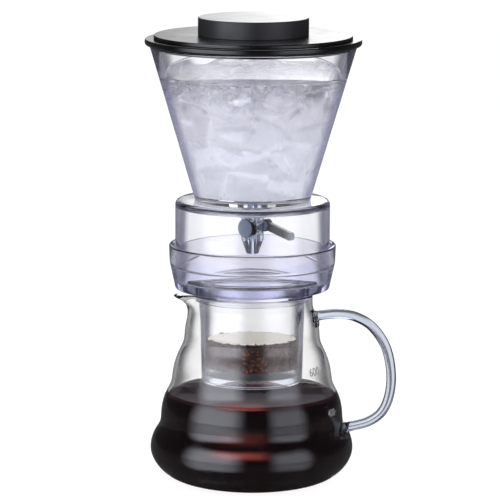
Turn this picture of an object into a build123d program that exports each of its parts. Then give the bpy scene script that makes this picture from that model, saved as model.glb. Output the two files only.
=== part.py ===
from build123d import *
import os
from math import pi, sin, sqrt

# A water-drip cold brew coffee maker, in millimetres.
# The origin is the centre of the carafe's foot, on the table. +Z is up, the handle is on +X
# and the spout on -X.

os.makedirs("parts", exist_ok=True)

# Clearances
seat_gap = 0.3          # between a part that lifts off and what it rests on
slip_gap = 0.3          # around a part that slides into another, on the radius
running_gap = 0.05      # around the turning spindle, on the radius
hole_gap = 0.2          # around a fixed stem or screw, on the radius

# Glass carafe
foot_radius = 40.0
belly_radius = 65.4
belly_height = 21.5
low_waist_radius = 58.7
low_waist_height = 37.5
mid_waist_radius = 51.6
mid_waist_height = 63.4
high_waist_radius = 43.6
high_waist_height = 90.6
neck_radius = 38.8
neck_straight = 10.0    # of the neck, below the rim
carafe_height = 123.2
glass_wall = 2.2
glass_base = 2.4
spout_reach = 49.3      # tip of the spout from the axis
spout_width = 27.0
spout_drop = 2.6        # the tip lies this far below the rim
spout_depth = 16.0      # the pouring channel starts this far below the rim

# Glass handle
handle_diameter = 6.3
handle_line = (         # centre line: reach from the axis, height as a share between the roots
    (54.5, 1.033),
    (66.8, 1.011),
    (78.2, 0.919),
    (87.2, 0.726),
    (90.3, 0.45),
    (86.4, 0.208),
    (76.4, 0.076),
)
handle_root_drop = 15.3 # the upper root lies this far below the rim
handle_foot_height = 35.3
handle_root_sink = 1.2  # the roots are melted this deep into the wall
handle_pad_diameter = 9.4

# Dripper bowl
bowl_radius = 53.5
bowl_height = 30.8      # rim above the seat on the carafe
bowl_shoulder_radius = 53.1
bowl_shoulder_drop = 11.3
bowl_corner_radius = 49.4
bowl_corner_rise = 2.8
bowl_seat_width = 4.6
bowl_floor_rise = 8.8   # top of the floor above the seat
bowl_floor_radius = 46.2
bowl_ledge_rise = 9.4   # the ledge for the skirt, above the floor
spigot_depth = 5.0

# Filter basket
basket_top_radius = 33.9
basket_bottom_radius = 32.4
basket_length = 69.2
basket_wall = 2.8
basket_flange_radius = 41.0
basket_flange = 2.0
basket_funnel = 1.6     # bevel at the mouth
mesh_thickness = 0.4
mesh_seat_depth = 5.4   # from the lower end up to the mesh
mesh_seat_wall = 1.6    # of the tube around the mesh and its ring
mesh_ring_height = 4.2
mesh_ring_width = 2.4
mesh_hole = 1.9
mesh_pitch = 3.1

# Water tank
skirt_radius = 49.5
skirt_wall = 3.0
skirt_height = 41.2
skirt_plate = 3.5
skirt_rounding = 3.0
tank_bottom_radius = 36.9
tank_top_radius = 66.1
tank_height = 98.9
tank_wall = 3.6
tank_floor = 3.0

# Drip valve
valve_turn = 35.0       # the spindle's axis, from -Y towards -X
lever_angle = 12.9      # the lever at rest, below level
stem_diameter = 12.0
stem_bore = 4.4
washer_diameter = 17.6
washer_thickness = 1.5
nut_width = 17.0        # across flats
nut_height = 5.0
stem_proud = 0.8
valve_flange_diameter = 16.4
valve_flange = 3.0
barrel_diameter = 14.2
barrel_length = 19.6    # from the flange's top to the nozzle's cone
nozzle_diameter = 7.4
nozzle_length = 8.6
nozzle_bore = 3.0
spindle_drop = 12.6     # spindle axis below the flange's top
spindle_diameter = 8.3
spindle_port = 2.4
head_diameter = 11.2
head_thickness = 1.7
pocket_depth = 4.6      # of the hollow in the barrel that takes the head
head_washer = 3.85      # height of the seal ring under the head
head_washer_diameter = 11.0
spot_face_diameter = 9.4
spot_face_depth = 1.9
clip_thickness = 0.7
clip_diameter = 8.8
clip_gap = 4.0          # mouth of the clip
spindle_neck_diameter = 5.8
spindle_neck = 5.2      # between the clip and the lever
spindle_square = 3.6
oring_section = 1.1
oring_station = 3.8     # from the valve's axis
lever_length = 23.2
lever_width = 4.9
lever_thickness = 3.0
lever_tip_rounding = 1.9
lever_hub_diameter = 7.2
lever_hub_length = 4.2
lever_rib = 0.4
lever_rib_width = 0.6
lever_ribs = 4
screw_diameter = 2.0
screw_head_diameter = 3.8
screw_head = 1.4
screw_length = 6.5

# Lid
lid_overhang = 3.0      # of the flange past the tank's rim
lid_flange = 4.0
lid_web = 2.2
lid_plug_depth = 2.2
lid_plug_wall = 2.4
disc_inset = 5.7        # from the edge of the flange
disc_thickness = 2.4
knob_radius = 35.3
knob_height = 11.3
knob_wall = 2.4
knob_top = 3.0
knob_bevel = 0.7
knob_boss_diameter = 10.0
lid_screw_diameter = 4.0
lid_screw_head_diameter = 8.0
lid_screw_head = 2.4
lid_screw_bite = 6.0

# Heights of the stack, worked out from the sizes above
neck_height = carafe_height - neck_straight
handle_root_height = carafe_height - handle_root_drop
bowl_seat = carafe_height + seat_gap
bowl_floor = bowl_seat + bowl_floor_rise
bowl_ledge = bowl_floor + bowl_ledge_rise
bowl_rim = bowl_seat + bowl_height
basket_seat = bowl_floor + seat_gap
basket_end = basket_seat + basket_flange - basket_length
skirt_foot = bowl_ledge + seat_gap
tank_seat = skirt_foot + skirt_height
plate_under = tank_seat - skirt_plate
tank_rim = tank_seat + tank_height
flange_top = plate_under - washer_thickness
spindle_height = flange_top - spindle_drop
lid_seat = tank_rim + seat_gap
lid_top = lid_seat + lid_flange
knob_seat = lid_top + disc_thickness

# Stations along the spindle's axis, from the valve's axis towards the lever
pocket_floor = pocket_depth - barrel_diameter / 2
head_face = pocket_floor - running_gap - head_washer
spot_face = barrel_diameter / 2 - spot_face_depth
clip_start = spot_face + running_gap
clip_end = clip_start + clip_thickness
hub_start = clip_end + spindle_neck
hub_end = hub_start + lever_hub_length

# Radii that follow from the fits
neck_bore = neck_radius - glass_wall
spigot_radius = neck_bore - slip_gap
basket_hole = basket_top_radius + slip_gap
skirt_bore = skirt_radius - skirt_wall
bowl_bore = skirt_radius + 2 * slip_gap
stem_hole = stem_diameter / 2 + hole_gap
spindle_bore = spindle_diameter / 2 + running_gap
mesh_radius = basket_bottom_radius - mesh_seat_wall
spindle_groove = spindle_diameter / 2 - oring_section
screw_hole = screw_diameter / 2 + running_gap
tank_slope = (tank_top_radius - tank_bottom_radius) / tank_height
tank_side_wall = tank_wall * sqrt(1 + tank_slope ** 2)
lid_radius = tank_top_radius + lid_overhang
disc_radius = lid_radius - disc_inset


def turned(corners):
    """A solid turned about Z from corners of (radius, height, rounding)."""
    points = [(radius, 0, height) for radius, height, rounding in corners]
    roundings = [rounding for radius, height, rounding in corners]
    if max(roundings) > 0:
        outline = FilletPolyline(*points, radius=roundings, close=True)
    else:
        outline = Polyline(*points, close=True)
    return revolve(make_face(outline), Axis.Z)


def disc(radius, low, high, hole=0.0):
    """A flat washer or disc between two heights."""
    if hole > 0:
        return turned([(hole, low, 0), (radius, low, 0), (radius, high, 0), (hole, high, 0)])
    return turned([(0, low, 0), (radius, low, 0), (radius, high, 0), (0, high, 0)])


def save(solid, name):
    """Write one named piece."""
    export_step(solid, f"parts/{name}.step")


# Carafe

def shoulder(low_radius, low_height, high_radius, high_height, power):
    """Points of a step that stands up from a waist, then curves in to the next one."""
    stations = (0.08, 0.35, 0.6, 0.8, 0.94)
    drop = low_radius - high_radius
    rise = high_height - low_height
    return [(low_radius - drop * s ** power, low_height + rise * s) for s in stations]


def carafe_side():
    """Outer outline of the glass, from the foot to the straight neck."""
    underside = []
    for s in (0.97, 0.86, 0.68, 0.4):
        swell = (1 - s ** 1.8) ** (1 / 1.8)
        underside.append((foot_radius + (belly_radius - foot_radius) * swell, belly_height * (1 - s)))
    return (
        underside
        + shoulder(belly_radius, belly_height, low_waist_radius, low_waist_height, 2.1)
        + shoulder(low_waist_radius, low_waist_height, mid_waist_radius, mid_waist_height, 3.0)
        + shoulder(mid_waist_radius, mid_waist_height, high_waist_radius, high_waist_height, 2.2)
        + shoulder(high_waist_radius, high_waist_height, neck_radius, neck_height, 2.6)
    )


def inset(points, depth):
    """Points moved inwards by depth, square to the outline through them."""
    moved = []
    for i in range(len(points)):
        r0, z0 = points[max(i - 1, 0)]
        r1, z1 = points[min(i + 1, len(points) - 1)]
        run = sqrt((r1 - r0) ** 2 + (z1 - z0) ** 2)
        r, z = points[i]
        moved.append((r - depth * (z1 - z0) / run, z + depth * (r1 - r0) / run))
    return moved


def turned_side(side, low, high, reach):
    """A solid turned about Z from a smooth side, closed to the axis at both ends."""
    base = (foot_radius, 0, low)
    outline = [base] + [(r, 0, z) for r, z in side] + [(reach, 0, neck_height + 2.0), (reach, 0, high)]
    return [
        Spline(*outline),
        Line((reach, 0, high), (0, 0, high)),
        Line((0, 0, high), (0, 0, low)),
        Line((0, 0, low), base),
    ]


def spout_horn(thinner):
    """The widening channel of the spout, smaller all round by thinner."""
    root = carafe_height - spout_depth
    hub = neck_radius - 6.0
    reach = spout_reach - hub
    growth = ((0, 0.36, 0.36), (0.4, 0.50, 0.62), (0.72, 0.74, 0.86), (1.1, 1.08, 1.08))
    sections = []
    for rise, deep_share, wide_share in growth:
        level = Plane.XY.offset(root + spout_depth * rise)
        deep = reach * deep_share - thinner
        wide = spout_width / 2 * wide_share - thinner
        sections.append(level * Pos(-hub, 0) * Ellipse(deep, wide))
    return loft(sections)


def above_rim():
    """Everything over the rim, with a slope down to the tip of the spout."""
    back = neck_radius - 2.0
    far = spout_reach + 3.0
    fall = spout_drop * (far - back) / (spout_reach - back)
    side = Polyline(
        (0, 0, carafe_height),
        (-back, 0, carafe_height),
        (-far, 0, carafe_height - fall),
        (-far, 0, carafe_height + spout_depth),
        (0, 0, carafe_height + spout_depth),
        close=True,
    )
    return extrude(make_face(side), spout_width, both=True)


def carafe_blank():
    """The carafe as if it were filled with glass."""
    shape = revolve(make_face(turned_side(carafe_side(), 0, carafe_height, neck_radius)), Axis.Z)
    return shape + (spout_horn(0.0) - above_rim())


def carafe_body(blank):
    """The blown glass body with its spout."""
    side = [(r, z) for r, z in inset(carafe_side(), glass_wall) if z > glass_base + 1.0]
    outline = turned_side(side, glass_base, carafe_height + glass_wall, neck_bore)
    cavity = revolve(make_face(outline), Axis.Z)
    return blank - cavity - spout_horn(glass_wall)


def carafe_handle(blank):
    """The bent glass rod, with a pad at each root shaped to the wall that it is melted to."""
    side = carafe_side()
    top_wall = min(side, key=lambda point: abs(point[1] - handle_root_height))
    low_wall = min(side, key=lambda point: abs(point[1] - handle_foot_height))
    span = handle_root_height - handle_foot_height
    route = Spline(
        (top_wall[0] - handle_root_sink, 0, handle_root_height),
        *[(reach, 0, handle_foot_height + share * span) for reach, share in handle_line],
        (low_wall[0] - handle_root_sink, 0, handle_foot_height),
    )
    rod = sweep(Plane(origin=route @ 0, z_dir=route % 0) * Circle(handle_diameter / 2), route)
    for end in (0, 1):
        rod += Pos(*(route @ end)) * Sphere(handle_pad_diameter / 2)
    return rod - blank


# Dripper bowl

def dripper_bowl():
    """The thick clear bowl that stands on the carafe and carries the basket and the tank."""
    seat_radius = spigot_radius + bowl_seat_width
    return turned([
        (basket_hole, bowl_seat - spigot_depth, 0.4),
        (spigot_radius, bowl_seat - spigot_depth, 0.4),
        (spigot_radius, bowl_seat, 0),
        (seat_radius, bowl_seat, 0.3),
        (seat_radius + 0.6, bowl_seat + bowl_corner_rise - 0.8, 0.3),
        (bowl_corner_radius, bowl_seat + bowl_corner_rise, 1.0),
        (bowl_shoulder_radius, bowl_rim - bowl_shoulder_drop, 6.0),
        (bowl_radius, bowl_rim, 1.0),
        (bowl_bore, bowl_rim, 0.8),
        (bowl_bore, bowl_ledge, 0.3),
        (bowl_floor_radius, bowl_ledge, 0.8),
        (bowl_floor_radius, bowl_floor, 1.0),
        (basket_hole, bowl_floor, 0.4),
    ])


# Filter basket

def basket_tube():
    """The clear tube that holds the grounds, with its flange and the seat for the mesh."""
    top = basket_seat + basket_flange
    mouth = basket_top_radius - basket_wall
    shelf = basket_bottom_radius - basket_wall
    seat = basket_end + mesh_seat_depth
    return turned([
        (mouth, top - basket_funnel, 0),
        (mouth + basket_funnel, top, 0),
        (basket_flange_radius, top, 0.6),
        (basket_flange_radius, basket_seat, 0.6),
        (basket_top_radius, basket_seat, 0.4),
        (basket_bottom_radius, basket_end, 0.4),
        (mesh_radius, basket_end, 0.3),
        (mesh_radius, seat, 0),
        (shelf, seat, 0.2),
    ])


def filter_mesh():
    """The strainer plate: one thin disc with rows of round holes."""
    seat = basket_end + mesh_seat_depth
    plate = disc(mesh_radius - hole_gap, seat - mesh_thickness, seat)
    field = mesh_radius - mesh_ring_width - mesh_pitch / 2
    rows = int(field / (mesh_pitch * sin(pi / 3)))
    holes = []
    for row in range(-rows, rows + 1):
        y = row * mesh_pitch * sin(pi / 3)
        start = (row % 2) * mesh_pitch / 2
        columns = int(field / mesh_pitch) + 1
        for column in range(-columns, columns + 1):
            x = start + column * mesh_pitch
            if sqrt(x ** 2 + y ** 2) < field:
                holes.append(Pos(x, y, seat) * Cylinder(mesh_hole / 2, 4 * mesh_thickness))
    return plate - holes


def mesh_ring():
    """The clamp ring that snaps in below the mesh."""
    high = basket_end + mesh_seat_depth - mesh_thickness
    low = high - mesh_ring_height
    outer = mesh_radius - hole_gap
    inner = mesh_radius - mesh_ring_width
    return turned([(inner, low, 0.5), (outer, low, 0.5), (outer, high, 0), (inner, high, 0.3)])


# Water tank

def tank_skirt():
    """The clear drum under the tank: a top plate and a wall that stands in the bowl."""
    return turned([
        (stem_hole, plate_under, 0),
        (skirt_bore, plate_under, 1.5),
        (skirt_bore, skirt_foot, 0.6),
        (skirt_radius, skirt_foot, 0.6),
        (skirt_radius, tank_seat, skirt_rounding),
        (stem_hole, tank_seat, 0),
    ])


def tank_cone():
    """The clear funnel that holds the ice and water."""
    floor_top = tank_seat + tank_floor
    floor_bore = tank_bottom_radius + tank_slope * tank_floor - tank_side_wall
    return turned([
        (stem_hole, tank_seat, 0),
        (tank_bottom_radius, tank_seat, 0.4),
        (tank_top_radius, tank_rim, 0.8),
        (tank_top_radius - tank_side_wall, tank_rim, 0.6),
        (floor_bore, floor_top, 2.0),
        (stem_hole, floor_top, 0),
    ])


# Drip valve

def across(solid):
    """Place a solid drawn along +Z on the spindle's axis, with +Z towards the lever."""
    return Pos(0, 0, spindle_height) * Rot(0, 0, -valve_turn) * Rot(-90, 0, 0) * solid


def valve_body():
    """The clear cock body: threaded stem, flange, barrel, cross bore and nozzle."""
    top = tank_seat + tank_floor + washer_thickness + nut_height + stem_proud
    flange_low = flange_top - valve_flange
    cone_top = flange_top - barrel_length
    tip = cone_top - nozzle_length
    body = turned([
        (0, tip, 0),
        (nozzle_diameter / 2, tip, 0.5),
        (barrel_diameter / 2, cone_top, 2.0),
        (barrel_diameter / 2, flange_low, 0.6),
        (valve_flange_diameter / 2, flange_low, 0.5),
        (valve_flange_diameter / 2, flange_top, 0.5),
        (stem_diameter / 2, flange_top, 0),
        (stem_diameter / 2, top, 0.8),
        (0, top, 0),
    ])
    pocket = head_diameter / 2 + slip_gap
    outside = barrel_diameter
    cross_bore = turned([
        (0, -outside, 0),
        (pocket, -outside, 0),
        (pocket, pocket_floor, 0),
        (spindle_bore, pocket_floor, 0),
        (spindle_bore, spot_face, 0),
        (spot_face_diameter / 2, spot_face, 0),
        (spot_face_diameter / 2, outside, 0),
        (0, outside, 0),
    ])
    body -= disc(stem_bore / 2, spindle_height, top + 1.0)
    body -= disc(nozzle_bore / 2, tip - 1.0, spindle_height)
    return body - across(cross_bore)


def valve_nut():
    """The hexagon nut inside the tank."""
    low = tank_seat + tank_floor + washer_thickness
    hexagon = Plane.XY.offset(low) * RegularPolygon(nut_width / 2, 6, major_radius=False)
    return extrude(hexagon, nut_height) - disc(stem_hole, low - 1.0, low + nut_height + 1.0)


def valve_washer(low):
    """A flat silicone washer on the stem."""
    return disc(washer_diameter / 2, low, low + washer_thickness, stem_hole)


def turning(solid):
    """Place a solid drawn with the lever along +X at the lever's angle."""
    return across(Rot(0, 0, lever_angle) * solid)


def valve_spindle():
    """The turning plug: head, sealed barrel with its port, neck and square end."""
    groove_low = oring_station - oring_section / 2 - running_gap
    groove_high = oring_station + oring_section / 2 + running_gap
    radius = spindle_diameter / 2
    neck = spindle_neck_diameter / 2
    shaft = turned([
        (0, head_face - head_thickness, 0),
        (head_diameter / 2, head_face - head_thickness, 0.7),
        (head_diameter / 2, head_face, 0.3),
        (radius, head_face, 0),
        (radius, groove_low, 0),
        (spindle_groove, groove_low, 0),
        (spindle_groove, groove_high, 0),
        (radius, groove_high, 0),
        (radius, spot_face, 0),
        (neck, spot_face, 0),
        (neck, hub_start, 0),
        (0, hub_start, 0),
    ])
    square = Plane.XY.offset(hub_start) * Rectangle(spindle_square, spindle_square)
    shaft += extrude(square, lever_hub_length - 3 * hole_gap)
    shaft -= disc(screw_hole, hub_end - screw_length - hole_gap, hub_end)
    shaft -= Rot(0, 90, 0) * Cylinder(spindle_port / 2, 2 * spindle_diameter)
    return turning(shaft)


def spindle_oring():
    """The rubber ring in the spindle's groove."""
    middle = (spindle_groove + spindle_bore - running_gap) / 2
    ring = Torus(middle, (spindle_bore - running_gap - spindle_groove) / 2)
    return turning(Pos(0, 0, oring_station) * ring)


def spindle_washer():
    """The seal ring between the spindle's head and the floor of its pocket."""
    return turning(disc(head_washer_diameter / 2, head_face, head_face + head_washer, spindle_bore))


def spindle_clip():
    """The open clip that keeps the spindle in its bore."""
    ring = disc(clip_diameter / 2, clip_start, clip_end, spindle_neck_diameter / 2)
    mouth = Pos(-clip_diameter / 2, 0, clip_start) * Box(clip_diameter, clip_gap, 4 * clip_thickness)
    return turning(ring - mouth)


def valve_lever():
    """The flat ribbed lever with its hub."""
    middle = (hub_start + hub_end) / 2
    blade = Pos(lever_length / 2, 0) * Rectangle(lever_length, lever_width)
    blade = fillet(blade.vertices().group_by(Axis.X)[-1], lever_tip_rounding)
    lever = extrude(Plane.XY.offset(middle) * blade, lever_thickness / 2, both=True)
    rib_start = lever_hub_diameter / 2 + 1.0
    rib_end = lever_length - lever_tip_rounding - 0.6
    for i in range(lever_ribs):
        y = ((i + 0.5) / lever_ribs - 0.5) * (lever_width - 2 * lever_rib_width)
        rib = Box(rib_end - rib_start, lever_rib_width, lever_thickness + 2 * lever_rib)
        lever += Pos((rib_start + rib_end) / 2, y, middle) * rib
    lever += disc(lever_hub_diameter / 2, hub_start, hub_end)
    hole = spindle_square + 2 * running_gap
    socket = Plane.XY.offset(hub_start) * Rectangle(hole, hole)
    lever -= extrude(socket, lever_hub_length - 2 * hole_gap)
    lever -= disc(screw_hole, hub_start, hub_end)
    return turning(lever)


def lever_screw():
    """The small screw that draws the lever onto the square."""
    return turning(turned([
        (0, hub_end - screw_length, 0),
        (screw_diameter / 2, hub_end - screw_length, 0.3),
        (screw_diameter / 2, hub_end, 0),
        (screw_head_diameter / 2, hub_end, 0.3),
        (screw_head_diameter / 2, hub_end + screw_head, 0.6),
        (0, hub_end + screw_head, 0),
    ]))


# Lid

def tank_bore(height):
    """Inner radius of the tank at a height near its rim."""
    return tank_top_radius - tank_side_wall - tank_slope * (tank_rim - height)


def lid_plate():
    """The flange that lies on the tank's rim, with the plug ring below it."""
    foot = lid_seat - lid_plug_depth
    web_under = lid_top - lid_web
    plug_foot = tank_bore(foot) - 2 * slip_gap
    plug_root = tank_bore(lid_seat) - 2 * slip_gap
    hole = lid_screw_diameter / 2 + hole_gap
    return turned([
        (hole, web_under, 0),
        (plug_foot - lid_plug_wall, web_under, 0.8),
        (plug_foot - lid_plug_wall, foot, 0.5),
        (plug_foot, foot, 0.5),
        (plug_root, lid_seat, 0),
        (lid_radius, lid_seat, 1.6),
        (lid_radius, lid_top, 1.2),
        (hole, lid_top, 0),
    ])


def lid_disc():
    """The raised trim disc on the plate."""
    hole = lid_screw_diameter / 2 + hole_gap
    return turned([
        (hole, lid_top, 0),
        (disc_radius, lid_top, 0.3),
        (disc_radius, knob_seat, 0.7),
        (hole, knob_seat, 0),
    ])


def lid_knob():
    """The wide hollow knob with a boss for its screw."""
    top = knob_seat + knob_height
    boss = knob_boss_diameter / 2
    bite_end = knob_seat + lid_screw_bite + hole_gap
    screw = lid_screw_diameter / 2 + running_gap
    return turned([
        (screw, knob_seat, 0),
        (boss, knob_seat, 0.4),
        (boss, top - knob_top, 0.8),
        (knob_radius - knob_wall, top - knob_top, 1.2),
        (knob_radius - knob_wall, knob_seat, 0.3),
        (knob_radius, knob_seat, 0.3),
        (knob_radius, top, knob_bevel),
        (0, top, 0),
        (0, bite_end, 0),
        (screw, bite_end, 0),
    ])


def lid_screw():
    """The screw that holds plate, disc and knob together."""
    head_top = lid_top - lid_web
    radius = lid_screw_diameter / 2
    return turned([
        (0, head_top - lid_screw_head, 0),
        (lid_screw_head_diameter / 2, head_top - lid_screw_head, 0.9),
        (lid_screw_head_diameter / 2, head_top, 0.3),
        (radius, head_top, 0),
        (radius, knob_seat + lid_screw_bite, 0.5),
        (0, knob_seat + lid_screw_bite, 0),
    ])


blank = carafe_blank()
save(carafe_body(blank), "carafe_body")
save(carafe_handle(blank), "carafe_handle")
save(dripper_bowl(), "dripper_bowl")
save(basket_tube(), "basket_tube")
save(filter_mesh(), "filter_mesh")
save(mesh_ring(), "mesh_ring")
save(tank_skirt(), "tank_skirt")
save(tank_cone(), "tank_cone")
save(valve_body(), "valve_body")
save(valve_nut(), "valve_nut")
save(valve_washer(tank_seat + tank_floor), "valve_washer_upper")
save(valve_washer(flange_top), "valve_washer_lower")
save(valve_spindle(), "valve_spindle")
save(spindle_oring(), "spindle_oring")
save(spindle_washer(), "spindle_washer")
save(spindle_clip(), "spindle_clip")
save(valve_lever(), "valve_lever")
save(lever_screw(), "lever_screw")
save(lid_plate(), "lid_plate")
save(lid_disc(), "lid_disc")
save(lid_knob(), "lid_knob")
save(lid_screw(), "lid_screw")
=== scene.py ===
# %% [markdown]
# # A water-drip cold brewer
# The real object is a tower of clear parts on a blown glass carafe. Ice water in a conical tank
# drips through a small cock onto ground coffee, and the brew collects in the carafe below.
# The shapes come from the CAD model, which stays where it is. This lesson gives each piece the
# finish of its real material, and turns the clear parts afresh with finer steps, because glass and
# clear plastic show every facet.

# %% Load the CAD model as a fixed frame
import math
import random

import bmesh
import bpy
from mathutils import Matrix, Vector, noise


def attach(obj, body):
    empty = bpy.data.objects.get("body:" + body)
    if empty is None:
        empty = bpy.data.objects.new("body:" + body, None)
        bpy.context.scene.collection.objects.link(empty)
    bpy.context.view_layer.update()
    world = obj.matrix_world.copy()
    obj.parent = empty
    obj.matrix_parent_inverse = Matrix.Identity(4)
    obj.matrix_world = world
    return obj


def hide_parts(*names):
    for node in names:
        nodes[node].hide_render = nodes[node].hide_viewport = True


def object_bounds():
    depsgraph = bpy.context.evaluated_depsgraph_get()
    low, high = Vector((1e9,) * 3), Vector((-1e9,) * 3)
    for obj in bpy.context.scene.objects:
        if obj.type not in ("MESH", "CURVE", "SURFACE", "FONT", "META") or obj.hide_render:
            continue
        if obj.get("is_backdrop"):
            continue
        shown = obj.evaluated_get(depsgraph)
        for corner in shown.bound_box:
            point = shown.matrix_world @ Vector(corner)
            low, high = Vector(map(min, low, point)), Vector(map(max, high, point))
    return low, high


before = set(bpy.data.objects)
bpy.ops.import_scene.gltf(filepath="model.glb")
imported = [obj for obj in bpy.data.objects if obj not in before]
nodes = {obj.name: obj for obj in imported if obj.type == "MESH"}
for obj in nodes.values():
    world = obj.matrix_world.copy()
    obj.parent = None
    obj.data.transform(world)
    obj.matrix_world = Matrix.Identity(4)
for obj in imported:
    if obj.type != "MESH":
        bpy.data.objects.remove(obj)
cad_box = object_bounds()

MM = 0.001
scene = bpy.context.scene

# %% [markdown]
# ## Camera
# A product photograph of a tall object is taken from far away with a long lens, so that the top and
# the foot look alike. The camera stands a little above the lid and a few degrees off the line
# square to the handle. The tiny roll and shift are those of the photograph's own framing.

# %% Camera
# Distance and height are in metres, tilt and roll in degrees.
CAMERA_REACH = 2.2134
CAMERA_HEIGHT = 0.5229
LOOK_DOWN = 9.558
ROLL = 0.27
turn = math.radians(8.0)
lens = bpy.data.cameras.new("studio_camera")
lens.sensor_width = 36.0
lens.lens = 252.0
lens.shift_x = -0.0049
lens.clip_start = 0.1
lens.clip_end = 30.0
camera = bpy.data.objects.new("studio_camera", lens)
scene.collection.objects.link(camera)
camera.location = (CAMERA_REACH * math.sin(turn), -CAMERA_REACH * math.cos(turn), CAMERA_HEIGHT)
tilt = Matrix.Rotation(math.radians(90.0 - LOOK_DOWN), 4, "X")
tilt = tilt @ Matrix.Rotation(math.radians(ROLL), 4, "Z")
camera.rotation_euler = (Matrix.Rotation(turn, 4, "Z") @ tilt).to_euler()
scene.camera = camera
print("camera at", [round(v, 3) for v in camera.location])

# %% [markdown]
# ## Two helpers for materials
# Colours are written as sRGB hex values, as a paint chart gives them, and shaders want linear
# numbers. Every node is added by one small function, which sets its values and links its inputs.

# %% Colour and node helpers
def linear(hex_colour):
    """An sRGB hex colour as linear red, green, blue and alpha."""
    steps = [int(hex_colour[i:i + 2], 16) / 255 for i in (0, 2, 4)]
    return tuple(s / 12.92 if s <= 0.04045 else ((s + 0.055) / 1.055) ** 2.4 for s in steps) + (1.0,)


def add_node(tree, kind, values=None, links=None):
    """Add a node, set its inputs or settings by name, and link inputs from (node, output) pairs."""
    node = tree.nodes.new(kind)
    for name, value in (values or {}).items():
        if isinstance(name, int) or name in node.inputs:
            node.inputs[name].default_value = value
        else:
            setattr(node, name, value)
    for name, (source, output) in (links or {}).items():
        tree.links.new(source.outputs[output], node.inputs[name])
    return node


def new_material(name):
    """An empty node material."""
    material = bpy.data.materials.new(name)
    material.use_nodes = True
    material.node_tree.nodes.clear()
    return material, material.node_tree


def paint(node_names, material):
    """Give CAD nodes one material."""
    for name in node_names:
        nodes[name].data.materials.clear()
        nodes[name].data.materials.append(material)


print("white is", linear("ffffff"), "mid grey is", round(linear("808080")[0], 3))

# %% [markdown]
# ## Clear materials
# Light reaches the contents through the clear walls. A render that follows only straight shadow
# rays would leave the inside dark, so a clear wall lets shadow rays and soft bounced light pass as
# if it were thin air, and bends only what the eye or a reflection sees. The wall's own colour comes
# from the thickness of plastic that a ray crosses: that is what turns the thick lower edge of the
# bowl violet while the thin tank stays nearly colourless.
# A darker rim colour and a matt violet veil are painted on the walls as well: painted shade where a
# wall is seen edge on.

# %% Clear material function
WATER_IOR = 1.335
STYRENE_IOR = 1.57
GLASS_IOR = 1.474
# The veil's violet: a matt colour painted at the rims of clear walls as shade.
PAINTED_VEIL_VIOLET = linear("c8c8ec")
# The share of red, green and blue light that one clear wall lets by without bending it.
LETS_BY = (0.985, 0.985, 0.99, 1)


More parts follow.
